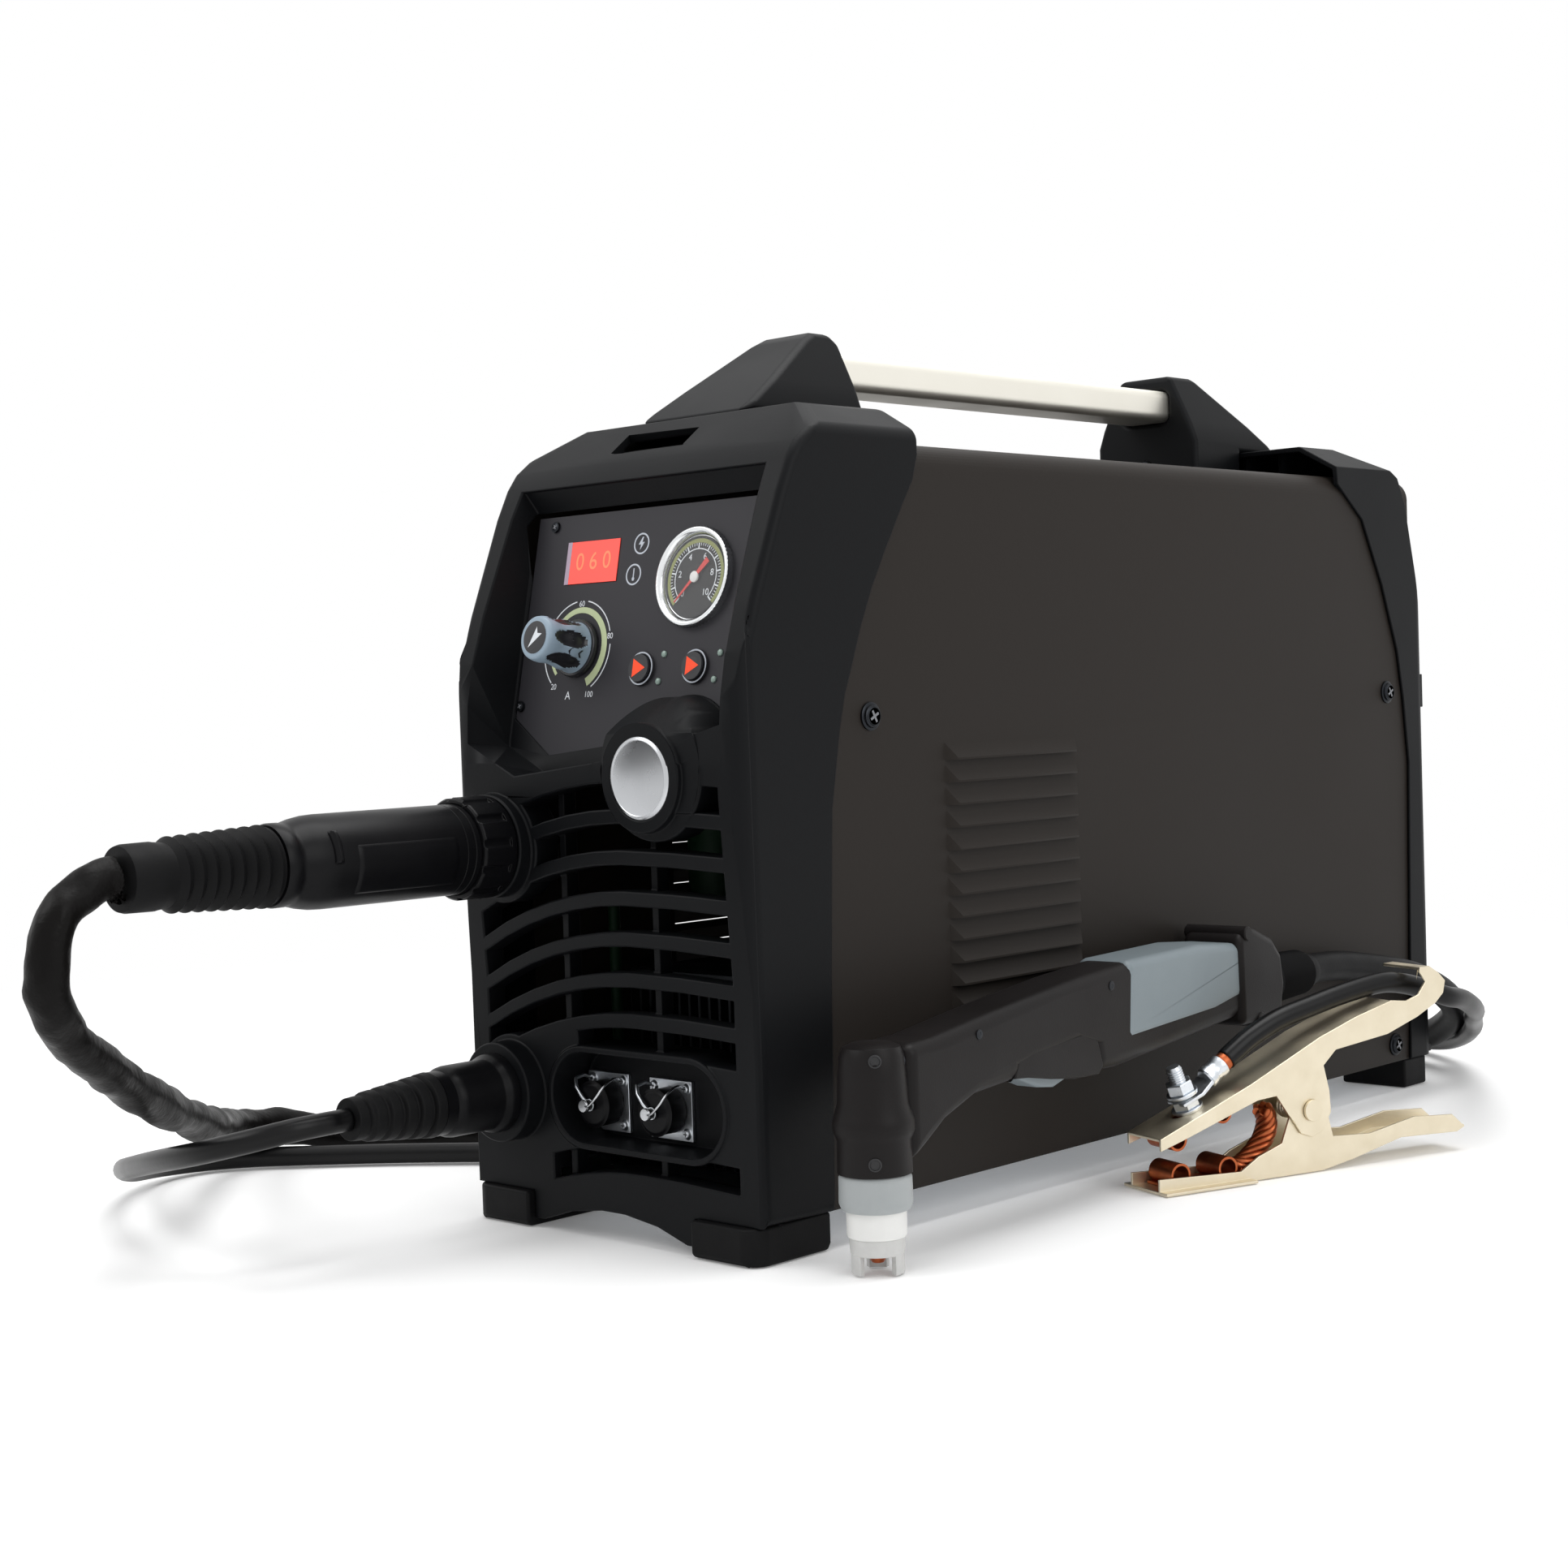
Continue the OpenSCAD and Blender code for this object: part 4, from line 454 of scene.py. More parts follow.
def turned(name, outline, where, coat, part, steps=64, body=None):
    """A turned piece: an outline of (radius, height) in mm spun once round its own axis."""
    mesh = bpy.data.meshes.new(name)
    mesh.from_pydata([(r * MM, 0, z * MM) for r, z in outline],
                     [(i, i + 1) for i in range(len(outline) - 1)], [])
    piece = bpy.data.objects.new(name, mesh)
    bpy.context.scene.collection.objects.link(piece)
    edit(piece)
    bpy.ops.mesh.spin(steps=steps, angle=2 * math.pi, center=(0, 0, 0), axis=(0, 0, 1))
    bpy.ops.mesh.select_all(action="SELECT")
    bpy.ops.mesh.remove_doubles(threshold=0.000005)
    bpy.ops.mesh.normals_make_consistent(inside=False)
    close()
    bpy.ops.object.shade_smooth_by_angle(angle=math.radians(35))
    return settle(piece, name, where, coat, part, body)


def cut_flat(name, outlines, thick, where, coat, part=None, round_mm=0, body=None):
    """A flat piece cut to outlines in mm, thick mm either side of its plane. An inner outline is a hole."""
    flat = bpy.data.curves.new(name, "CURVE")
    flat.dimensions, flat.fill_mode, flat.extrude = "2D", "BOTH", thick * MM
    for outline in outlines:
        line = flat.splines.new("POLY")
        line.points.add(len(outline) - 1)
        for point, (x, y) in zip(line.points, outline):
            point.co = (x * MM, y * MM, 0, 1)
        line.use_cyclic_u = True
    piece = bpy.data.objects.new(name, flat)
    bpy.context.scene.collection.objects.link(piece)
    pick(piece)
    bpy.ops.object.convert(target="MESH")
    piece = bpy.context.object
    edit(piece)
    bpy.ops.mesh.remove_doubles(threshold=0.000005)
    bpy.ops.mesh.normals_make_consistent(inside=False)
    close()
    if round_mm:
        soften(piece, round_mm, 50, 4)
    return settle(piece, name, where, coat, part, body)


def printed(name, words, size, where, coat, part=None):
    """Plain printed figures, size mm high, centred on a place."""
    letters = bpy.data.curves.new(name, "FONT")
    letters.body, letters.extrude = words, 0.00003
    # The font's size is about 1.35 times the height of its figures
    letters.size = size * MM * 1.35
    letters.align_x, letters.align_y = "CENTER", "CENTER"
    piece = bpy.data.objects.new(name, letters)
    bpy.context.scene.collection.objects.link(piece)
    pick(piece)
    bpy.ops.object.convert(target="MESH")
    return settle(bpy.context.object, name, where, coat, part)


def circle(r, n=48):
    """The outline of a disc."""
    return [(r * math.cos(2 * math.pi * k / n), r * math.sin(2 * math.pi * k / n)) for k in range(n)]


def arc_band(r_in, r_out, begin, end, n=40):
    """A curved band between two radii that may swell: each radius a number or a pair for its two ends."""
    def at(r, k):
        """A radius at the k-th step along the band."""
        return r[0] + (r[1] - r[0]) * k / n if isinstance(r, tuple) else r
    turns = [math.radians(begin + (end - begin) * k / n) for k in range(n + 1)]
    outer = [(at(r_out, k) * math.cos(t), at(r_out, k) * math.sin(t)) for k, t in enumerate(turns)]
    inner = [(at(r_in, k) * math.cos(t), at(r_in, k) * math.sin(t)) for k, t in enumerate(turns)]
    return outer + inner[::-1]


def join(name, pieces):
    """Makes several pieces one."""
    bpy.ops.object.select_all(action="DESELECT")
    for piece in pieces:
        piece.select_set(True)
    bpy.context.view_layer.objects.active = pieces[0]
    bpy.ops.object.join()
    bpy.context.object.name = name
    return bpy.context.object


# The sloping control panel's own frame: x across it, y up its slope and z out of it
LEAN = math.radians(12)
PANEL = Matrix(((1, 0, 0, 0), (0, math.sin(LEAN), -math.cos(LEAN), -0.2749),
                (0, math.cos(LEAN), math.sin(LEAN), 0.2496), (0, 0, 0, 1)))


def on_panel(x, w, n=0, turn=0):
    """A place on the control panel, in mm across it, up it and out of it."""
    return PANEL @ shift(x, w, n) @ swing(turn, "Z")


def facing_front(x, y, z):
    """A place whose own height points at the front."""
    return shift(x, y, z) @ swing(90, "X")


def facing_side(y, z, side, x):
    """A place whose own height points at the left (-1) or the right (1)."""
    return shift(side * x, y, z) @ swing(90 * side, "Y")


# ---------------------------------------------------------------- case
def outer_edge(c):
    """Whether an edge of the front moulding lies on its outside corner."""
    return float((abs(c.x) > 0.0975 and c.y < -0.2515) or (c.z > 0.3705 and abs(c.x) > 0.074 and c.y < -0.178))


front = dress("front_bezel", 4.5, 24, 5, share=outer_edge)


def fine_edge(c):
    """Leaves sharp the hump's foot and the seat under the panel, where there is no room for a rounding."""
    seat = c.z > 0.2 and abs(c.x) < 0.093 and -0.009 < (PANEL.inverted() @ c).z < 0.001
    return 0.0 if seat or (c.y < -0.262 and 0.222 < c.z < 0.262) else 1.0


edit(front)
bpy.ops.mesh.quads_convert_to_tris(quad_method="BEAUTY", ngon_method="BEAUTY")
close()
soften(front, 0.8, 32, 2, fine_edge)


def back_edge(c):
    """Whether an edge of the rear moulding can be seen from outside."""
    return float(abs(c.x) > 0.094 or c.z > 0.366 or c.y > 0.296)


dress("rear_bezel", 0.6, share=back_edge, shortest=3)
dress("front_bracket", 3.2, 28, 4)
dress("rear_bracket", 3.2, 28, 4)
feet = dress("feet", 1.6, 30, 3)
for corner in feet.data.vertices:
    corner.co.z = max(corner.co.z, 0)
dress("cover", 0, crisp=22)
dress("control_panel", 0.25, 40, 1)
dress("handle_bar", 0.5, 50)
CROSS = [(-0.6, -3), (0.6, -3), (0.6, -0.6), (3, -0.6), (3, 0.6), (0.6, 0.6), (0.6, 3), (-0.6, 3), (-0.6, 0.6),
         (-3, 0.6), (-3, -0.6), (-0.6, -0.6)]
SMALL_CROSS = [(a * 0.42, b * 0.42) for a, b in CROSS]
CASE_SCREW = [(0, 0), (6.6, 0), (6.6, 0.9), (6.0, 1.2), (5.4, 1.3), (5.2, 2.2), (3.9, 3.0), (0, 3.0)]
for side in (-1, 1):
    for y in (-213.5, 254):
        for z in (28, 240):
            label = "screw_%s_%d_%d" % ("left" if side < 0 else "right", abs(int(y)), z)
            turned(label, CASE_SCREW, facing_side(y, z, side, 96), SCREW, "case_screws", 36)
            spot = facing_side(y, z, side, 99) @ Matrix.Rotation(0.5, 4, "Z")
            cut_flat(label + "_cross", [CROSS], 0.05, spot, SLOT_GREY, "case_screws")
for i, (x, w) in enumerate(((-67, 89.2), (75, 89.2), (-77, 0), (77, 0))):
    turned("panel_screw_%d" % i, [(0, 0), (2.8, 0), (2.6, 0.9), (1.6, 1.3), (0, 1.4)], on_panel(x, w), SCREW,
           "case_screws", 24)
    cut_flat("panel_screw_cross_%d" % i, [SMALL_CROSS], 0.04, on_panel(x, w, 1.4, 30), SLOT_GREY, "case_screws")


# ---------------------------------------------------------------- panel print
BOLT = [(0.4, 3.2), (-2, -0.4), (-0.3, -0.4), (-0.8, -3.2), (2, 0.7), (0.3, 0.7), (1.2, 3.2)]
POINTER = [(-0.35, 3), (0.35, 3), (0.35, -1.2), (0.9, -2), (0.5, -3), (-0.5, -3), (-0.9, -2), (-0.35, -1.2)]
for i, (x, w, mark) in enumerate(((-4.1, 77, BOLT), (-7.3, 62.2, POINTER))):
    cut_flat("lamp_ring_%d" % i, [circle(5.2), circle(4.4)], 0.03, on_panel(x, w, 0.05), INK_GREY)
    cut_flat("lamp_mark_%d" % i, [mark], 0.03, on_panel(x, w, 0.06), INK_GREY)
BUTTON_W = 16.2
for i, (x, body) in enumerate(((7, "mode_button"), (42.5, "gas_button"))):
    cut_flat("button_ring_%d" % i, [circle(7.9), circle(7.2)], 0.04, on_panel(x, BUTTON_W, 1.64), INK_GREY)
    turned("button_dome_%d" % i, [(0, 1.4), (6.1, 1.4), (6.3, 2.6), (5.9, 3.1), (4, 3.3), (0, 3.35)],
           on_panel(x, BUTTON_W), BUTTON, "button_mode", 48, body)
    # The arrows carry the painted glow of the orange ink
    cut_flat("button_arrow_%d" % i, [[(-3.6, -4.4), (-3.6, 4.4), (4.6, 0)]], 0.03, on_panel(x, BUTTON_W, 3.37),
             ORANGE_GLOW, body=body)
for i, (x, w) in enumerate(((20.5, 22.8), (18.5, 10), (57.3, 22.2), (55, 9.9))):
    turned("panel_lamp_%d" % i, [(0, 0), (1.6, 0), (1.5, 0.7), (0.9, 1.1), (0, 1.2)], on_panel(x, w), LAMP,
           "display_window", 24)
DISPLAY_AT = (-37.5, 70.2)
pane = cut_flat("display_pane", [[(-18.4, -10.4), (18.4, -10.4), (18.4, 10.4), (-18.4, 10.4)]], 0.2,
                on_panel(*DISPLAY_AT, 0.22), DISPLAY, "display_window")
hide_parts("display_window")
cut_flat("display_edge", [[(-18.5, -10.5), (-15.6, -10.5), (-15.6, 10.5), (-18.5, 10.5)]], 0.04,
         on_panel(*DISPLAY_AT, 0.46), LILAC)
for i, figure in enumerate("060"):
    printed("display_figure_%d" % i, figure, 9, on_panel(-46 + 9.5 * i, DISPLAY_AT[1], 0.46), FIGURE)


# ---------------------------------------------------------------- knob and its scale
axis = PANEL.to_3x3().col[2]
KNOB_AT, SCALE_AT = (-40, 27.5), (-41, 28)
waves = [(12.5 - 0.085 * (n - 3.3) + 0.35 * math.cos(n * 0.52), n) for n in range(4, 27)]
knob = turned("knob_body", [(12.5, 3.3)] + waves + [(10.4, 27.3), (9.9, 27.8), (9.2, 28), (0, 28)],
              on_panel(*KNOB_AT), KNOB, "current_knob", 120)
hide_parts("current_knob")
to_knob = on_panel(*KNOB_AT).inverted()
# A flute's middle and half its reach: degrees round the knob, and mm up it
FLUTE_TURN, FLUTE_WIDE, FLUTE_Z, FLUTE_TALL = 8, 21.5, 14.8, 10.3


def in_flute(c, grow=1.0):
    """How deep a point of the knob lies in one of its six oval flutes, 0 to 1."""
    spot = to_knob @ c
    turn = (math.degrees(math.atan2(spot.y, spot.x)) - FLUTE_TURN + 30) % 60 - 30
    reach = (turn / (FLUTE_WIDE * grow)) ** 2 + ((spot.z * 1000 - FLUTE_Z) / (FLUTE_TALL * grow)) ** 2
    return max(0, 1 - reach) if math.hypot(spot.x, spot.y) > 0.0085 else 0


for vertex in knob.data.vertices:
    depth = min(1, in_flute(vertex.co) * 2.2) * 0.0012
    spot = to_knob @ vertex.co
    if depth:
        vertex.co -= (PANEL.to_3x3() @ Vector((spot.x, spot.y, 0))).normalized() * depth
coat_where(knob, BUTTON, lambda c: in_flute(c, 0.97) > 0)
turned("knob_foot", [(0, 0.3), (14, 0.3), (14.2, 0.8), (14.1, 2.6), (13.6, 3.3), (0, 3.4)], on_panel(*KNOB_AT),
       BUTTON, "current_knob", 72)
turned("knob_face", [(0, 28), (7.6, 28), (7.9, 28.1), (7.6, 28.15), (0, 28.15)], on_panel(*KNOB_AT), BUTTON,
       "current_knob", 48)
cut_flat("knob_arrow", [[(-2.6, -4.4), (0, 6.4), (2.6, -4.4), (0, -2.6)]], 0.03, on_panel(*KNOB_AT, 28.18, 140),
         INK_PALE, "current_knob")
chevron = [(-1.3, 0), (0.3, 1.9), (1.3, 1.9), (-0.1, 0), (1.3, -1.9), (0.3, -1.9)]
for i in range(3):
    spot = on_panel(*KNOB_AT) @ swing(-22, "Z") @ shift(12.06 - 0.2 * i, 0, 8.5 + 2.9 * i) @ swing(90, "Y")
    cut_flat("knob_chevron_%d" % i, [chevron], 0.04, spot, BUTTON, "current_knob")
cut_flat("knob_crescent", [arc_band((17.2, 17.2), (18.8, 21.4), 224, -62)], 0.03, on_panel(*SCALE_AT, 0.05),
         CRESCENT)
for begin, end in ((226, 186), (164, 100), (80, 19), (3, -56)):
    cut_flat("knob_scale_%d" % begin, [arc_band(22.8, 23.4, begin, end)], 0.03, on_panel(*SCALE_AT, 0.05),
             INK_PALE)
for figure, x, w in (("20", -54.8, 9.2), ("40", -63.5, 31), ("60", -41.3, 49.6), ("80", -18.6, 33),
                     ("100", -29, 5)):
    printed("knob_figure_" + figure, figure, 3, on_panel(x, w, 0.05), INK_PALE)
printed("knob_unit", "A", 4.2, on_panel(-43.8, 4.6, 0.05), INK_PALE)


# ---------------------------------------------------------------- gauge
GAUGE_AT = (36, 58.3)
DIAL_BEGIN, DIAL_END = 225, -45
TICK_TURN, UNIT_TURN = 5.4, 27  # degrees from one tick, and from one unit, to the next
gauge = turned("gauge_rim", [(0, -26), (20.4, -26), (20.4, 0), (24, 0), (24, 3.2), (23.4, 3.9), (22.6, 4.2),
                             (21.8, 4.1), (20.9, 3.3), (20.2, 2.0), (19.9, 0.6), (0, 0.6)],
               on_panel(*GAUGE_AT), CHROME, "gauge_case", 144)
middle = PANEL @ Vector((GAUGE_AT[0] * MM, GAUGE_AT[1] * MM, 0))
# The knurl: every other one of the 144 rows of vertices round the rim's side is set in
for vertex in gauge.data.vertices:
    out = vertex.co - middle
    height = out.dot(axis)
    flat = out - axis * height
    if -0.0001 < height < 0.0034 and flat.length > 0.0237:
        turn = math.atan2(flat.dot(Vector(PANEL.to_3x3().col[1])), flat.x)
        if round(turn * 72 / math.pi) % 2:
            vertex.co -= flat.normalized() * 0.0009
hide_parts("gauge_case")
turned("gauge_back", [(0, -36), (6, -36), (6, -26), (0, -26)], on_panel(*GAUGE_AT), BRASS, "gauge_case", 32)
turned("gauge_dial", [(0, 0.62), (19.6, 0.62), (19.6, 0.8), (0, 0.8)], on_panel(*GAUGE_AT), DIAL, "gauge_case",
       64)
for label, r_in, r_out, ink in (("dial_band", 16.3, 18.2, OLIVE), ("dial_arc", 13.2, 13.7, INK_PALE)):
    cut_flat(label, [arc_band(r_in, r_out, DIAL_BEGIN, DIAL_END, 64)], 0.02, on_panel(*GAUGE_AT, 0.84), ink,
             "gauge_case")
ticks = []
for k in range(51):
    a, h = (13.4, 0.36) if k % 5 == 0 else (14.9, 0.15)
    b = 16.2
    ticks.append(cut_flat("tick_%d" % k, [[(a, -h), (b, -h), (b, h), (a, h)]], 0.02,
                          on_panel(*GAUGE_AT, 0.84, DIAL_BEGIN - TICK_TURN * k), INK_PALE, "gauge_case"))
join("dial_ticks", ticks)
figures = []
for k in range(0, 11, 2):
    t = math.radians(DIAL_BEGIN - UNIT_TURN * k)
    spot = on_panel(GAUGE_AT[0] + 10.6 * math.cos(t), GAUGE_AT[1] + 10.6 * math.sin(t), 0.84)
    figures.append(printed("dial_figure_%d" % k, str(k), 3.3, spot, INK_PALE, "gauge_case"))
join("dial_figures", figures)
hand = [(-11, -1.5), (-11, 1.5), (-2, 0.9), (16.2, 0.3), (16.2, -0.3), (-2, -0.9)]
needle = cut_flat("needle_hand", [hand], 0.2, on_panel(*GAUGE_AT, 1.75, DIAL_BEGIN), RED, "gauge_needle")
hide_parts("gauge_needle")
turned("needle_hub", [(0, 1.3), (2.6, 1.3), (2.6, 2.1), (2.1, 2.35), (0, 2.4)], on_panel(*GAUGE_AT), HUB_ENAMEL,
       "gauge_needle", 32)


# ---------------------------------------------------------------- badge
badge = turned("badge_disc", [(0, 0), (19, 0), (19, 1.6), (18.2, 2.5), (17.2, 2.75), (16.6, 2.4), (0, 2.4)],
               facing_front(38, -304, 216), BADGE, "badge", 72)
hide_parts("badge")


# ---------------------------------------------------------------- connectors
SOCKET_X, TORCH_Z, EARTH_Z = -68, 183.5, 65
PLUG_R = 21.5
dress("ring_nut", 0.5, 35)
PLUG = facing_front(SOCKET_X, -309, TORCH_Z)
plug = turned("torch_plug", [(0, 0), (21.5, 0), (21.5, 22), (21.1, 22.4), (21.5, 22.8), (21.5, 27),
                             (21.2, 27.3), (21.5, 27.6), (21.5, 98), (21.2, 104), (20.2, 110), (18.8, 115),
                             (18.5, 117), (18.9, 118), (18.9, 123), (18.3, 124.5), (0, 124.5)],
              PLUG, NYLON, "torch_connector", 96)
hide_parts("torch_connector")


def wrapped(name, length, width, begin, turn, rise):
    """A raised pad with soft edges on the torch's plug: length along it and width round it, in mm."""
    bpy.ops.mesh.primitive_grid_add(x_subdivisions=36, y_subdivisions=20, size=1)
    pad = bpy.context.object
    for vertex in pad.data.vertices:
        u, v = vertex.co.x * 2, vertex.co.y * 2
        edge = min((1 - abs(u)) * length / 2, (1 - abs(v)) * width / 2)
        r = PLUG_R - 0.3 + rise * min(1, edge / 1.6) ** 0.5
        angle = math.radians(turn) + v * width / 2 / PLUG_R
        vertex.co = (r * math.cos(angle) * MM, r * math.sin(angle) * MM, (begin + (u + 1) * length / 2) * MM)
    edit(pad)
    bpy.ops.mesh.normals_make_consistent(inside=False)
    close()
    bpy.ops.object.shade_smooth_by_angle(angle=math.radians(50))
    pad = settle(pad, name, PLUG, NYLON, "torch_connector")
    centre = PLUG @ Vector((0, 0, (begin + length / 2) * MM))
    face = pad.data.polygons[len(pad.data.polygons) // 2]
    if (face.center - centre).dot(face.normal) < 0:
        edit(pad)
        bpy.ops.mesh.flip_normals()
        close()


wrapped("plug_panel", 58, 25, 32, -12, 0.75)
wrapped("plug_lug", 4.5, 16, 98, 20, 2.6)
ribs = [(18.6 - 0.28 * i - (3.3 - 0.12 * i) * k, 3.2 + 3.25 * (2 * i + k)) for i in range(8) for k in (0, 1)]
bellows = turned("bellows", [(0, 0.4), (17.6, 0.4), (17.8, 2)] + ribs
                 + [(14.6, 56.5), (14.9, 58), (14.7, 71), (14.1, 73), (0, 73)],
                 facing_front(SOCKET_X, -434, TORCH_Z), RUBBER, "torch_bellows", 72)
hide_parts("torch_bellows")
socket = turned("earth_coupler", [(0, 0), (19, 0), (19, 3.6), (18.4, 5.2), (17.3, 7), (17, 8), (17, 29),
                                  (16.6, 31.5), (15.8, 33.4), (15.2, 34.2), (15.2, 40.5), (0, 40.7)],
                facing_front(SOCKET_X, -308.3, EARTH_Z), NYLON, "earth_plug", 72)
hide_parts("earth_plug")
for part, width, angle in (("earth_boot", 0.5, 25), ("port_sockets", 0.3, 40), ("cap_left", 0.6, 35),
                           ("cap_right", 0.6, 35)):
    dress(part, width, angle)
PORT_Z = 60.5
for i, x in enumerate((-21.5, 21)):
    turned("cap_pin_%d" % i, [(0, 13.2), (1.5, 13.4), (1.5, 15.2), (2.9, 15.6), (3.1, 16.4), (2.7, 17.2),
                              (0, 17.3)], facing_front(x, -277, PORT_Z), BADGE, "port_sockets", 32)
    loop_line = glide([(x + 1.5, -293.6, 60.5), (x + 6, -295.5, 61.5), (x + 11, -295, 66), (x + 12.6, -291, 71),
                       (x + 11.6, -284, 73.2), (x + 10.6, -279.4, 72)], 6)
    loop = tube("lanyard_%d" % i, loop_line, 0.0006, 10)
    settle(loop, "lanyard_%d" % i, Matrix(), BADGE, "port_sockets")
    # The flange screws' crosses are painted shade: black patches where their recesses lie
    for sx in (-10.5, 10.5):
        for sz in (-10.5, 10.5):
            cut_flat("flange_cross_%d_%d_%d" % (i, sx, sz), [SMALL_CROSS], 0.04,
                     facing_front(x + sx, -278.62, PORT_Z + sz), RECESS_SHADE, "port_sockets")


# ---------------------------------------------------------------- torch
TORCH = Matrix.Translation((*TORCH_AT, 0)) @ Matrix.Rotation(TORCH_TURN, 4, "Z")
UPRIGHT = TORCH @ swing(90, "X")
handle = [(8, 99), (29, 99.3), (80, 105.5), (145, 112), (195, 115.3), (260, 116), (294, 113), (330, 105),
          (330, 78), (292, 74), (230, 69), (179, 65), (160, 65.6), (157, 80), (150, 82.2), (104, 78), (94, 76),
          (93, 71.6), (60, 69.7), (35, 61.7), (22, 54), (8, 46)]
body = cut_flat("torch_shell", [handle], 15, UPRIGHT, SHELL, "torch_body", 6)
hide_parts("torch_body")
turned("torch_head", [(0, 100.5), (9, 100.2), (12.6, 98.6), (14.2, 95), (15, 86), (15.6, 74), (17.3, 68.4),
                      (17.9, 66.4), (17.9, 62.4), (17.2, 60.6), (16.2, 58.4), (16.4, 44), (0, 44)],
       TORCH, SHELL, "torch_body", 72)
# The torch head's screws are drawn black all over in the painted recess shade
for z, turn, r in ((94, -137, 14.2), (50, -142, 16.2)):
    turned("head_screw_%d" % z, [(0, 0), (2.9, 0), (2.9, 0.5), (2.3, 0.75), (2.1, 0.2), (0, 0.2)],
           TORCH @ swing(turn, "Z") @ shift(r, 0, z) @ swing(90, "Y"), RECESS_SHADE, "torch_body", 28)
cheek = [(88, 72.4), (92, 82), (158, 86), (164, 68), (160, 64.6), (140, 65.2), (118, 68.2), (100, 71.4)]
for side in (-1, 1):
    cut_flat("trigger_cheek_%s" % ("left" if side > 0 else "right"), [cheek], 2.8,
             UPRIGHT @ shift(0, 0, side * 11.8), SHELL, "torch_body", 1)
grip = [(188, 116), (260, 116.8), (294, 113.9), (321, 109), (321, 88), (272, 80.5), (185, 76.5)]
inlay = cut_flat("grip_inlay", [grip], 15.4, UPRIGHT, GREY_ABS, "torch_grip", 4.6)
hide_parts("torch_grip")
lever = cut_flat("trigger_lever", [[(97, 72), (98, 76), (106, 76.4), (146, 74), (148, 69), (143, 64.4),
                                    (132, 61.8), (119, 63.6), (110, 67)]],
                 7, UPRIGHT, GREY_ABS, "torch_trigger", 1.6)
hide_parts("torch_trigger")
band = cut_flat("torch_band", [[(297, 70), (295, 116), (304, 121), (314, 120), (332, 113), (341, 104),
                                (344, 89), (341, 76), (330, 70)]], 17.4, UPRIGHT, SHELL, "torch_clamp", 4)
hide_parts("torch_clamp")
for t, z in ((303, 118), (316, 71.4)):
    turned("band_screw_%d" % t, [(0, -18.3), (3.4, -18.3), (4, -17.6), (4, 17.6), (3.4, 18.3), (0, 18.3)],
           UPRIGHT @ shift(t, z, 0), SHELL, "torch_clamp", 28)
    turned("band_socket_%d" % t, [(0, 18.2), (1.9, 18.2), (1.9, 18.45), (0, 18.45)],
           UPRIGHT @ shift(t, z, 0) @ swing(180, "X"), SCREW, "torch_clamp", 6)
ribs = [(13.9 - 0.13 * i - 2.1 * k, 20 + 1.75 * (2 * i + k)) for i in range(12) for k in (0, 1)]
relief = turned("relief_boot", [(0, 0), (13, 0), (13, 18)] + ribs + [(10.6, 62), (9.6, 69.5), (0, 69.6)],
                TORCH @ shift(330, 0, RELIEF_Z) @ swing(90, "Y"), RUBBER, "torch_relief", 56)
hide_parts("torch_relief")
dress("torch_collar", 0.6, 30)
dress("torch_ring", 0.5, 30)
shield = turned("shield_ring", [(6.5, 16), (12.2, 16), (12.3, 15.2), (11.9, 9.4), (11.4, 8.8), (7.4, 8.8),
                                (6.5, 10), (6.5, 16)], TORCH, SHIELD, "drag_shield", 72)
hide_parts("drag_shield")
for turn in (-68, 68, 180):
    cut_flat("shield_leg_%d" % turn, [arc_band(8.6, 11.6, turn - 142 - 26, turn - 142 + 26, 16)], 4.6,
             TORCH @ shift(0, 0, 5.0), SHIELD, "drag_shield", 0.4)
dress("torch_tip", 0.3, 35)
flat_screw = [(0, 0), (2.3, 0), (2.3, 0.25), (1.2, 0.3), (1.0, 0.1), (0, 0.1)]
for side in (-1, 1):
    for t, out in ((4.6, 0.0128), (60, 0.0151), (172, 0.0151)):
        spot = UPRIGHT @ Matrix.Translation((t * MM, (92 + t * 0.08) * MM, side * -out))
        turned("torch_screw_%d_%d" % (t, side), flat_screw,
               spot @ swing(0 if side < 0 else 180, "X"), SCREW, "torch_body", 24)


# ---------------------------------------------------------------- earth clamp
for part in ("clamp_lower", "clamp_upper"):
    dress(part, 0.35, 40)
dress("clamp_rivet", 0.2, 35)
CLAMP = Matrix.Translation((*CLAMP_AT, 0)) @ Matrix.Rotation(CLAMP_TURN, 4, "Z") @ shift(0, CLAMP_MIDDLE, 0)
CLAMP_SIDE = CLAMP @ swing(90, "X")
# The upper jaw's own frame, at the hinge and leaning back from the lower jaw
UPPER = CLAMP @ Matrix.Translation((0, 0, 0.0278)) @ swing(-20.9, "Y")
UPPER_SIDE = UPPER @ swing(90, "X")


def scroll(r, begin, sweep, thick=1.3, n=40):
    """A strip rolled round: its outline in mm, from an angle, for a sweep."""
    turns = [math.radians(begin + sweep * k / n) for k in range(n + 1)]
    outer = [(r * math.cos(t), r * math.sin(t)) for t in turns]
    return outer + [((r - thick) * math.cos(t), (r - thick) * math.sin(t)) for t in turns[::-1]]


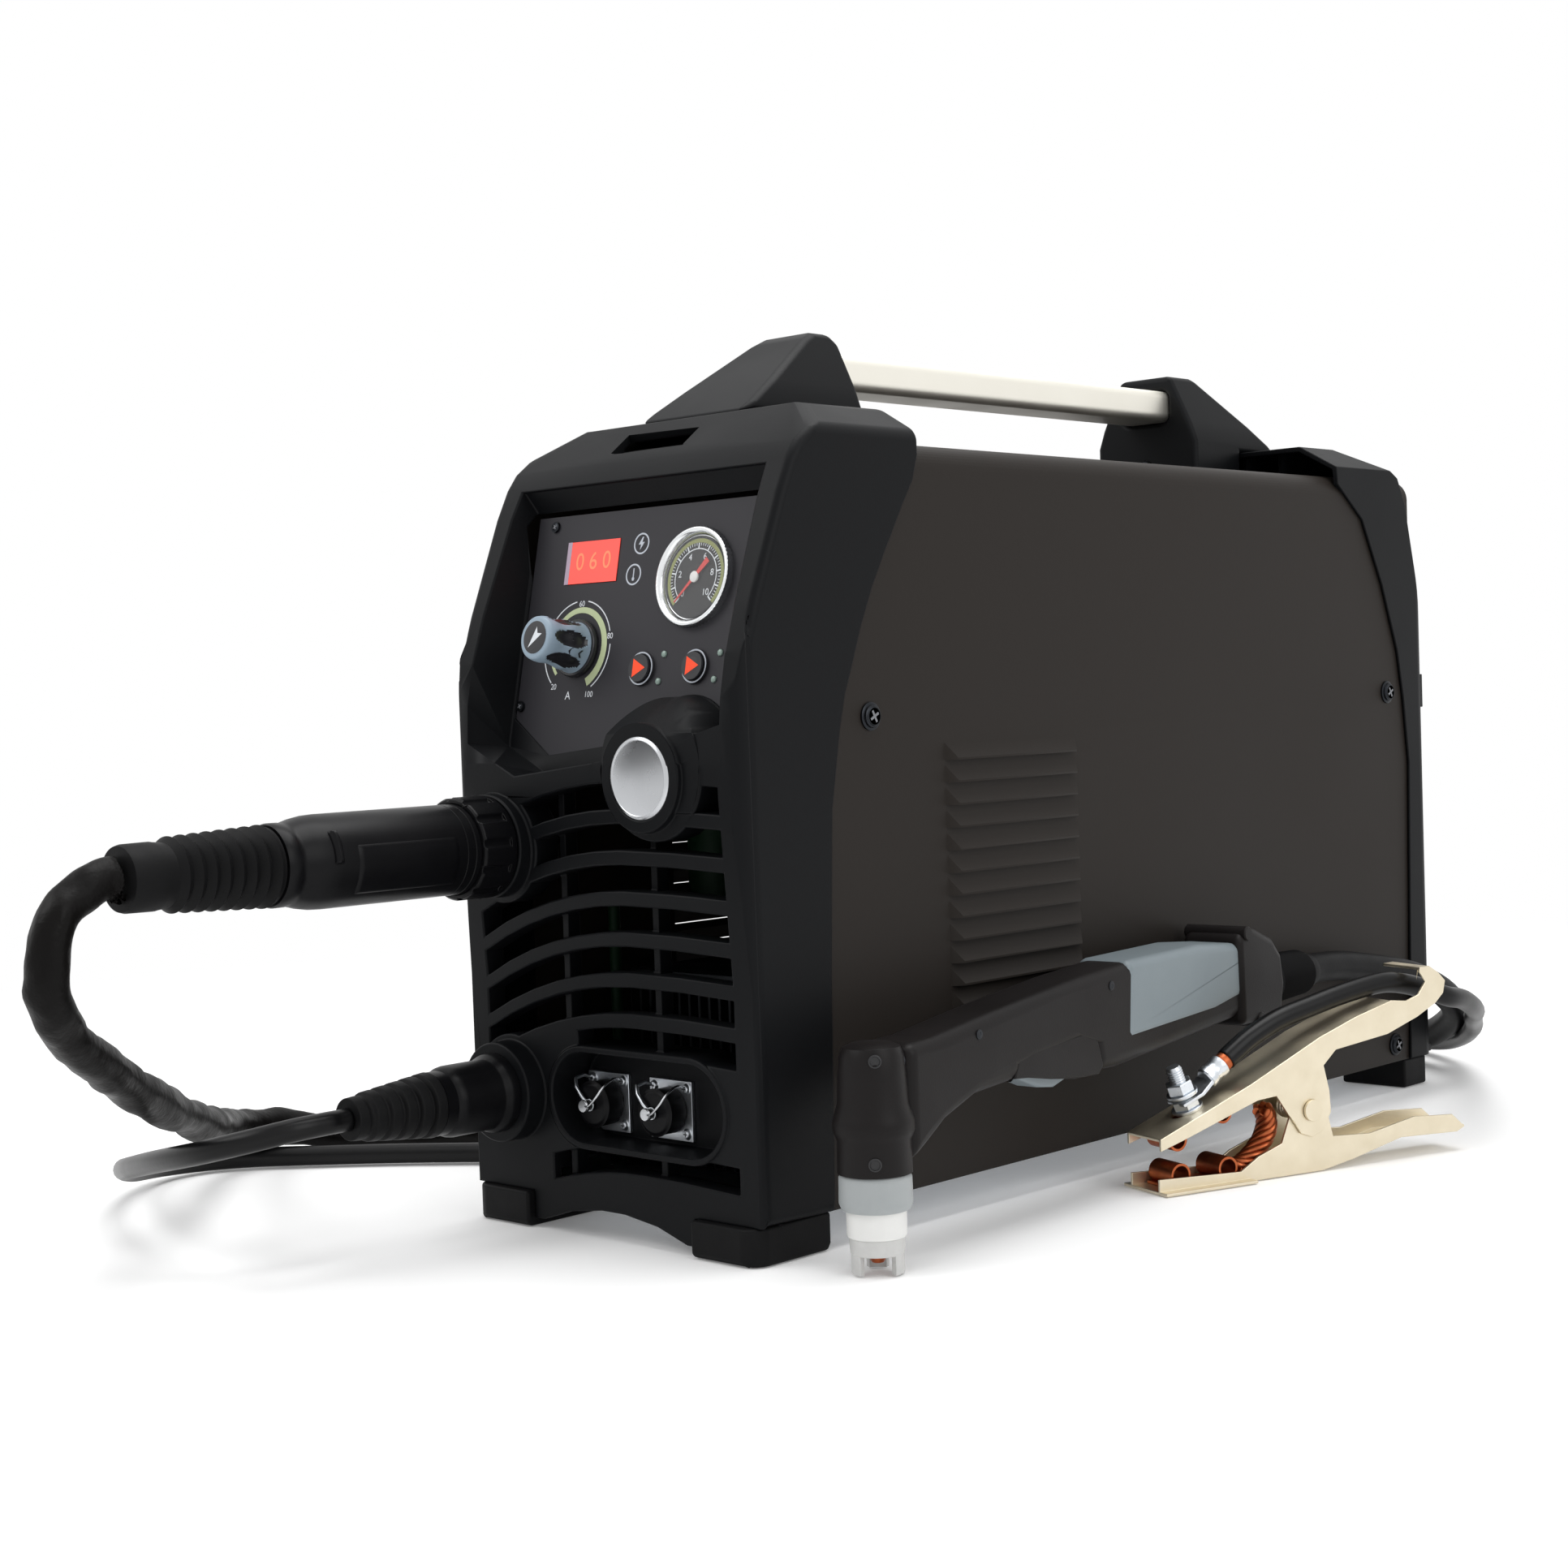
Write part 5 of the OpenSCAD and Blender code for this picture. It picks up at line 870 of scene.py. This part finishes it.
strip = cut_flat("copper_floor", [[(8, 1.8), (62, 1.8), (62, 3.2), (8, 3.2)]], 9.5, CLAMP_SIDE, COPPER,
                 "copper_lower", 0.3)
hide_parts("copper_lower")
for s_at, sweep in ((15, 330), (44, -330)):
    cut_flat("copper_roll_%d" % s_at, [scroll(5.9, -90, sweep)], 9.5, CLAMP_SIDE @ shift(s_at, 7.8, 0), COPPER,
             "copper_lower", 0.2)
strip = cut_flat("copper_roof", [[(5, -3.2), (50, -3.2), (50, -1.8), (5, -1.8)]], 9.5, UPPER_SIDE, COPPER,
                 "copper_upper", 0.3)
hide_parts("copper_upper")
for s_at, sweep in ((12, -320), (42, 320)):
    cut_flat("copper_hook_%d" % s_at, [scroll(5.4, 90, sweep)], 9.5, UPPER_SIDE @ shift(s_at, -7.3, 0), COPPER,
             "copper_upper", 0.2)
arc = [CLAMP @ p for p in glide([(54, 0, 5.4), (60, 0, 7), (67, 0, 11.6), (73, 0, 17.6), (76, 0, 23.6),
                                 (75.6, 0, 29.6), (73.4, 0, 33.4)], 10)]
across = (CLAMP.to_3x3() @ Vector((0, 1, 0))).normalized()
# The braid: one strand along its middle line, and six thinner ones that twist round it
for k in range(7):
    strand = []
    for i, middle in enumerate(arc):
        ahead = (arc[min(i + 1, len(arc) - 1)] - arc[max(i - 1, 0)]).normalized()
        t = 2 * math.pi * k / 6 + i * 0.16
        away = 1.5 * math.cos(t) * across + math.sin(t) * ahead.cross(across)
        strand.append(middle + (0.0030 if k else 0.0) * away)
    wire = tube("braid_%d" % k, strand, 0.0019 if k else 0.0028, 10)
    settle(wire, "braid_%d" % k, Matrix(), COPPER, "copper_lower")
STACK = UPPER @ shift(29, 0, 0)
washer = turned("stud_washer", [(0, 0.05), (7.9, 0.05), (8, 0.3), (8, 1.3), (7.8, 1.5), (0, 1.5)], STACK, ZINC,
                "clamp_stud", 48)
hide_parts("clamp_stud")
for label, outline, steps in (
        ("stud_nut_low", [(0, 1.5), (6.6, 1.5), (7.1, 2), (7.1, 5.8), (6.6, 6.3), (0, 6.3)], 6),
        ("stud_washer_top", [(0, 8.2), (7.9, 8.2), (8, 8.5), (8, 9.6), (7.8, 9.8), (0, 9.8)], 48),
        ("stud_nut_top", [(0, 9.8), (6.6, 9.8), (7.1, 10.3), (7.1, 15), (6.6, 15.5), (0, 15.5)], 6)):
    turned(label, outline, STACK, ZINC, "clamp_stud", steps)
thread = [(4.1 - 0.45 * (k % 2), 0.6 + 0.625 * k) for k in range(36)]
turned("stud_thread", [(0, 0)] + thread + [(3.2, 23.6), (0, 23.6)], STACK, ZINC, "clamp_stud", 40)
cut_flat("cable_lug", [[(19.6, 41.9), (31, 46.3), (38, 52.6), (39.4, 51.2), (32, 44.8), (20.3, 40.3)]], 6.8,
         CLAMP_SIDE, ZINC, "clamp_stud", 0.5)
FERRULE = CLAMP @ shift(38.5, 0, 51.7) @ swing(56, "Y")
turned("lug_barrel", [(0, 0), (5, 0), (5.8, 1), (5.8, 4), (5.3, 5), (5.3, 8), (5.8, 9), (5.8, 11.6), (5.4, 12),
                      (0, 12)], FERRULE, ZINC, "clamp_stud", 48)
turned("bare_strands", [(0, 11), (4.6, 11), (5, 13), (4.8, 16), (0, 16)], FERRULE, COPPER, "clamp_stud", 48)


# ---------------------------------------------------------------- rear
for part, width in (("rear_fittings", 0.5), ("power_switch", 0.5), ("gas_inlet", 0.4), ("fan_frame", 0.6),
                    ("fan_rotor", 0.4)):
    dress(part, width, 38)


# ---------------------------------------------------------------- leads
def crease(piece, depth, scale):
    """Presses shallow creases into a sleeve, never outwards."""
    for vertex in piece.data.vertices:
        fold = noise.noise(vertex.co * scale) + 0.4 * noise.noise(vertex.co * scale * 2.3)
        vertex.co -= vertex.normal * depth * max(0, fold + 0.35)


pick(sleeve)
sleeve.modifiers.new("finer", "SUBSURF").levels = 1
bpy.ops.object.modifier_apply(modifier="finer")
crease(sleeve, 0.0028, 42)
sleeve.data.materials.append(LEATHER)
hose.data.materials.append(HOSE)
earth.data.materials.append(PVC)


def strap(name, centre, turn, r_in, r_out, top):
    """A hook and loop tie round a coil that lies on the floor, in mm."""
    low, corner, thick = 0.8, 4, 1.2
    outline = []
    for cx, cy, begin in ((r_out - corner, top - corner, 0), (r_in + corner, top - corner, 90),
                          (r_in + corner, low + corner, 180), (r_out - corner, low + corner, 270)):
        turns = [math.radians(begin + 15 * k) for k in range(7)]
        outline += [(cx + corner * math.cos(t), cy + corner * math.sin(t)) for t in turns]
    cx, cy = (r_in + r_out) / 2, (low + top) / 2
    inner = [(cx + (x - cx) * (1 - thick / (r_out - cx)), cy + (y - cy) * (1 - thick / (top - cy)))
             for x, y in outline]
    where = shift(*centre, 0) @ swing(turn, "Z") @ swing(90, "X")
    cut_flat(name, [outline, inner], 9, where, STRAP, "torch_bellows")


strap("hose_tie", (-262, 10), 75, 62, 134, 37.5)
strap("cable_tie", (-222, 250), 60, 34, 86, 25.5)


# ---------------------------------------------------------------- light and floor
def lamp(name, at, aim, size, watts):
    """A soft white rectangular lamp that faces a point."""
    data = bpy.data.lights.new(name, "AREA")
    data.shape = "RECTANGLE"
    data.size, data.size_y = size
    data.energy = watts
    made = bpy.data.objects.new(name, data)
    bpy.context.scene.collection.objects.link(made)
    made.location = at
    made.rotation_euler = (Vector(aim) - Vector(at)).to_track_quat("-Z", "Y").to_euler()


def white_to_camera(tree, shader, white):
    """Shows plain white to the eye, also in metal and through glass, and the given shader to the light."""
    path = put(tree, "ShaderNodeLightPath")
    seen = path.outputs["Is Camera Ray"]
    for kind in ("Is Glossy Ray", "Is Transmission Ray"):
        either = put(tree, "ShaderNodeMath", {"operation": "MAXIMUM"}, {0: seen, 1: path.outputs[kind]})
        seen = either.outputs[0]
    return put(tree, "ShaderNodeMixShader", inputs={0: seen, 1: shader, 2: white})


world = bpy.data.worlds.new("studio")
bpy.context.scene.world = world
world.use_nodes = True
world.node_tree.nodes.clear()
dim = put(world.node_tree, "ShaderNodeBackground", inputs={"Color": (1, 1, 1, 1), "Strength": 0.5})
bright = put(world.node_tree, "ShaderNodeBackground", inputs={"Color": (1, 1, 1, 1), "Strength": 1.0})
both = white_to_camera(world.node_tree, dim.outputs[0], bright.outputs[0])
put(world.node_tree, "ShaderNodeOutputWorld", inputs={"Surface": both.outputs[0]})

lamp("key", (-0.9, -1.6, 1.7), (0, -0.1, 0.2), (1.4, 1.0), 16)
lamp("side", (1.9, -0.2, 1.2), (0, 0, 0.2), (1.2, 1.4), 11)
lamp("top", (0.1, 0.2, 2.1), (0, 0, 0.2), (1.6, 1.6), 30)

# A hair below the machine's feet, so that the two never lie in one plane
bpy.ops.mesh.primitive_plane_add(size=12, location=(0, 0, -0.0004))
floor = bpy.context.object
floor.name = "floor"
# Board, painted matt white: the lamps and its own faint light bring it to white, and it fades to plain white
mat, tree, bsdf = start("floor_paint", {"Base Color": linear("#fafafa"), "Roughness": 0.9,
                                        "Emission Color": (1, 1, 1, 1), "Emission Strength": 0.12})
place = put(tree, "ShaderNodeTexCoord").outputs["Object"]
far = put(tree, "ShaderNodeVectorMath", {"operation": "LENGTH"}, {0: place})
fade = put(tree, "ShaderNodeMapRange", inputs={"Value": far.outputs["Value"], "From Min": 0.55,
                                               "From Max": 1.25})
plain = put(tree, "ShaderNodeEmission", inputs={"Color": (1, 1, 1, 1), "Strength": 1.0})
mixed = put(tree, "ShaderNodeMixShader", inputs={0: fade.outputs[0], 1: bsdf.outputs[0], 2: plain.outputs[0]})
end = next(n for n in tree.nodes if n.type == "OUTPUT_MATERIAL")
tree.links.new(mixed.outputs[0], end.inputs["Surface"])
floor.data.materials.append(mat)

bpy.context.scene.view_settings.view_transform = "Standard"
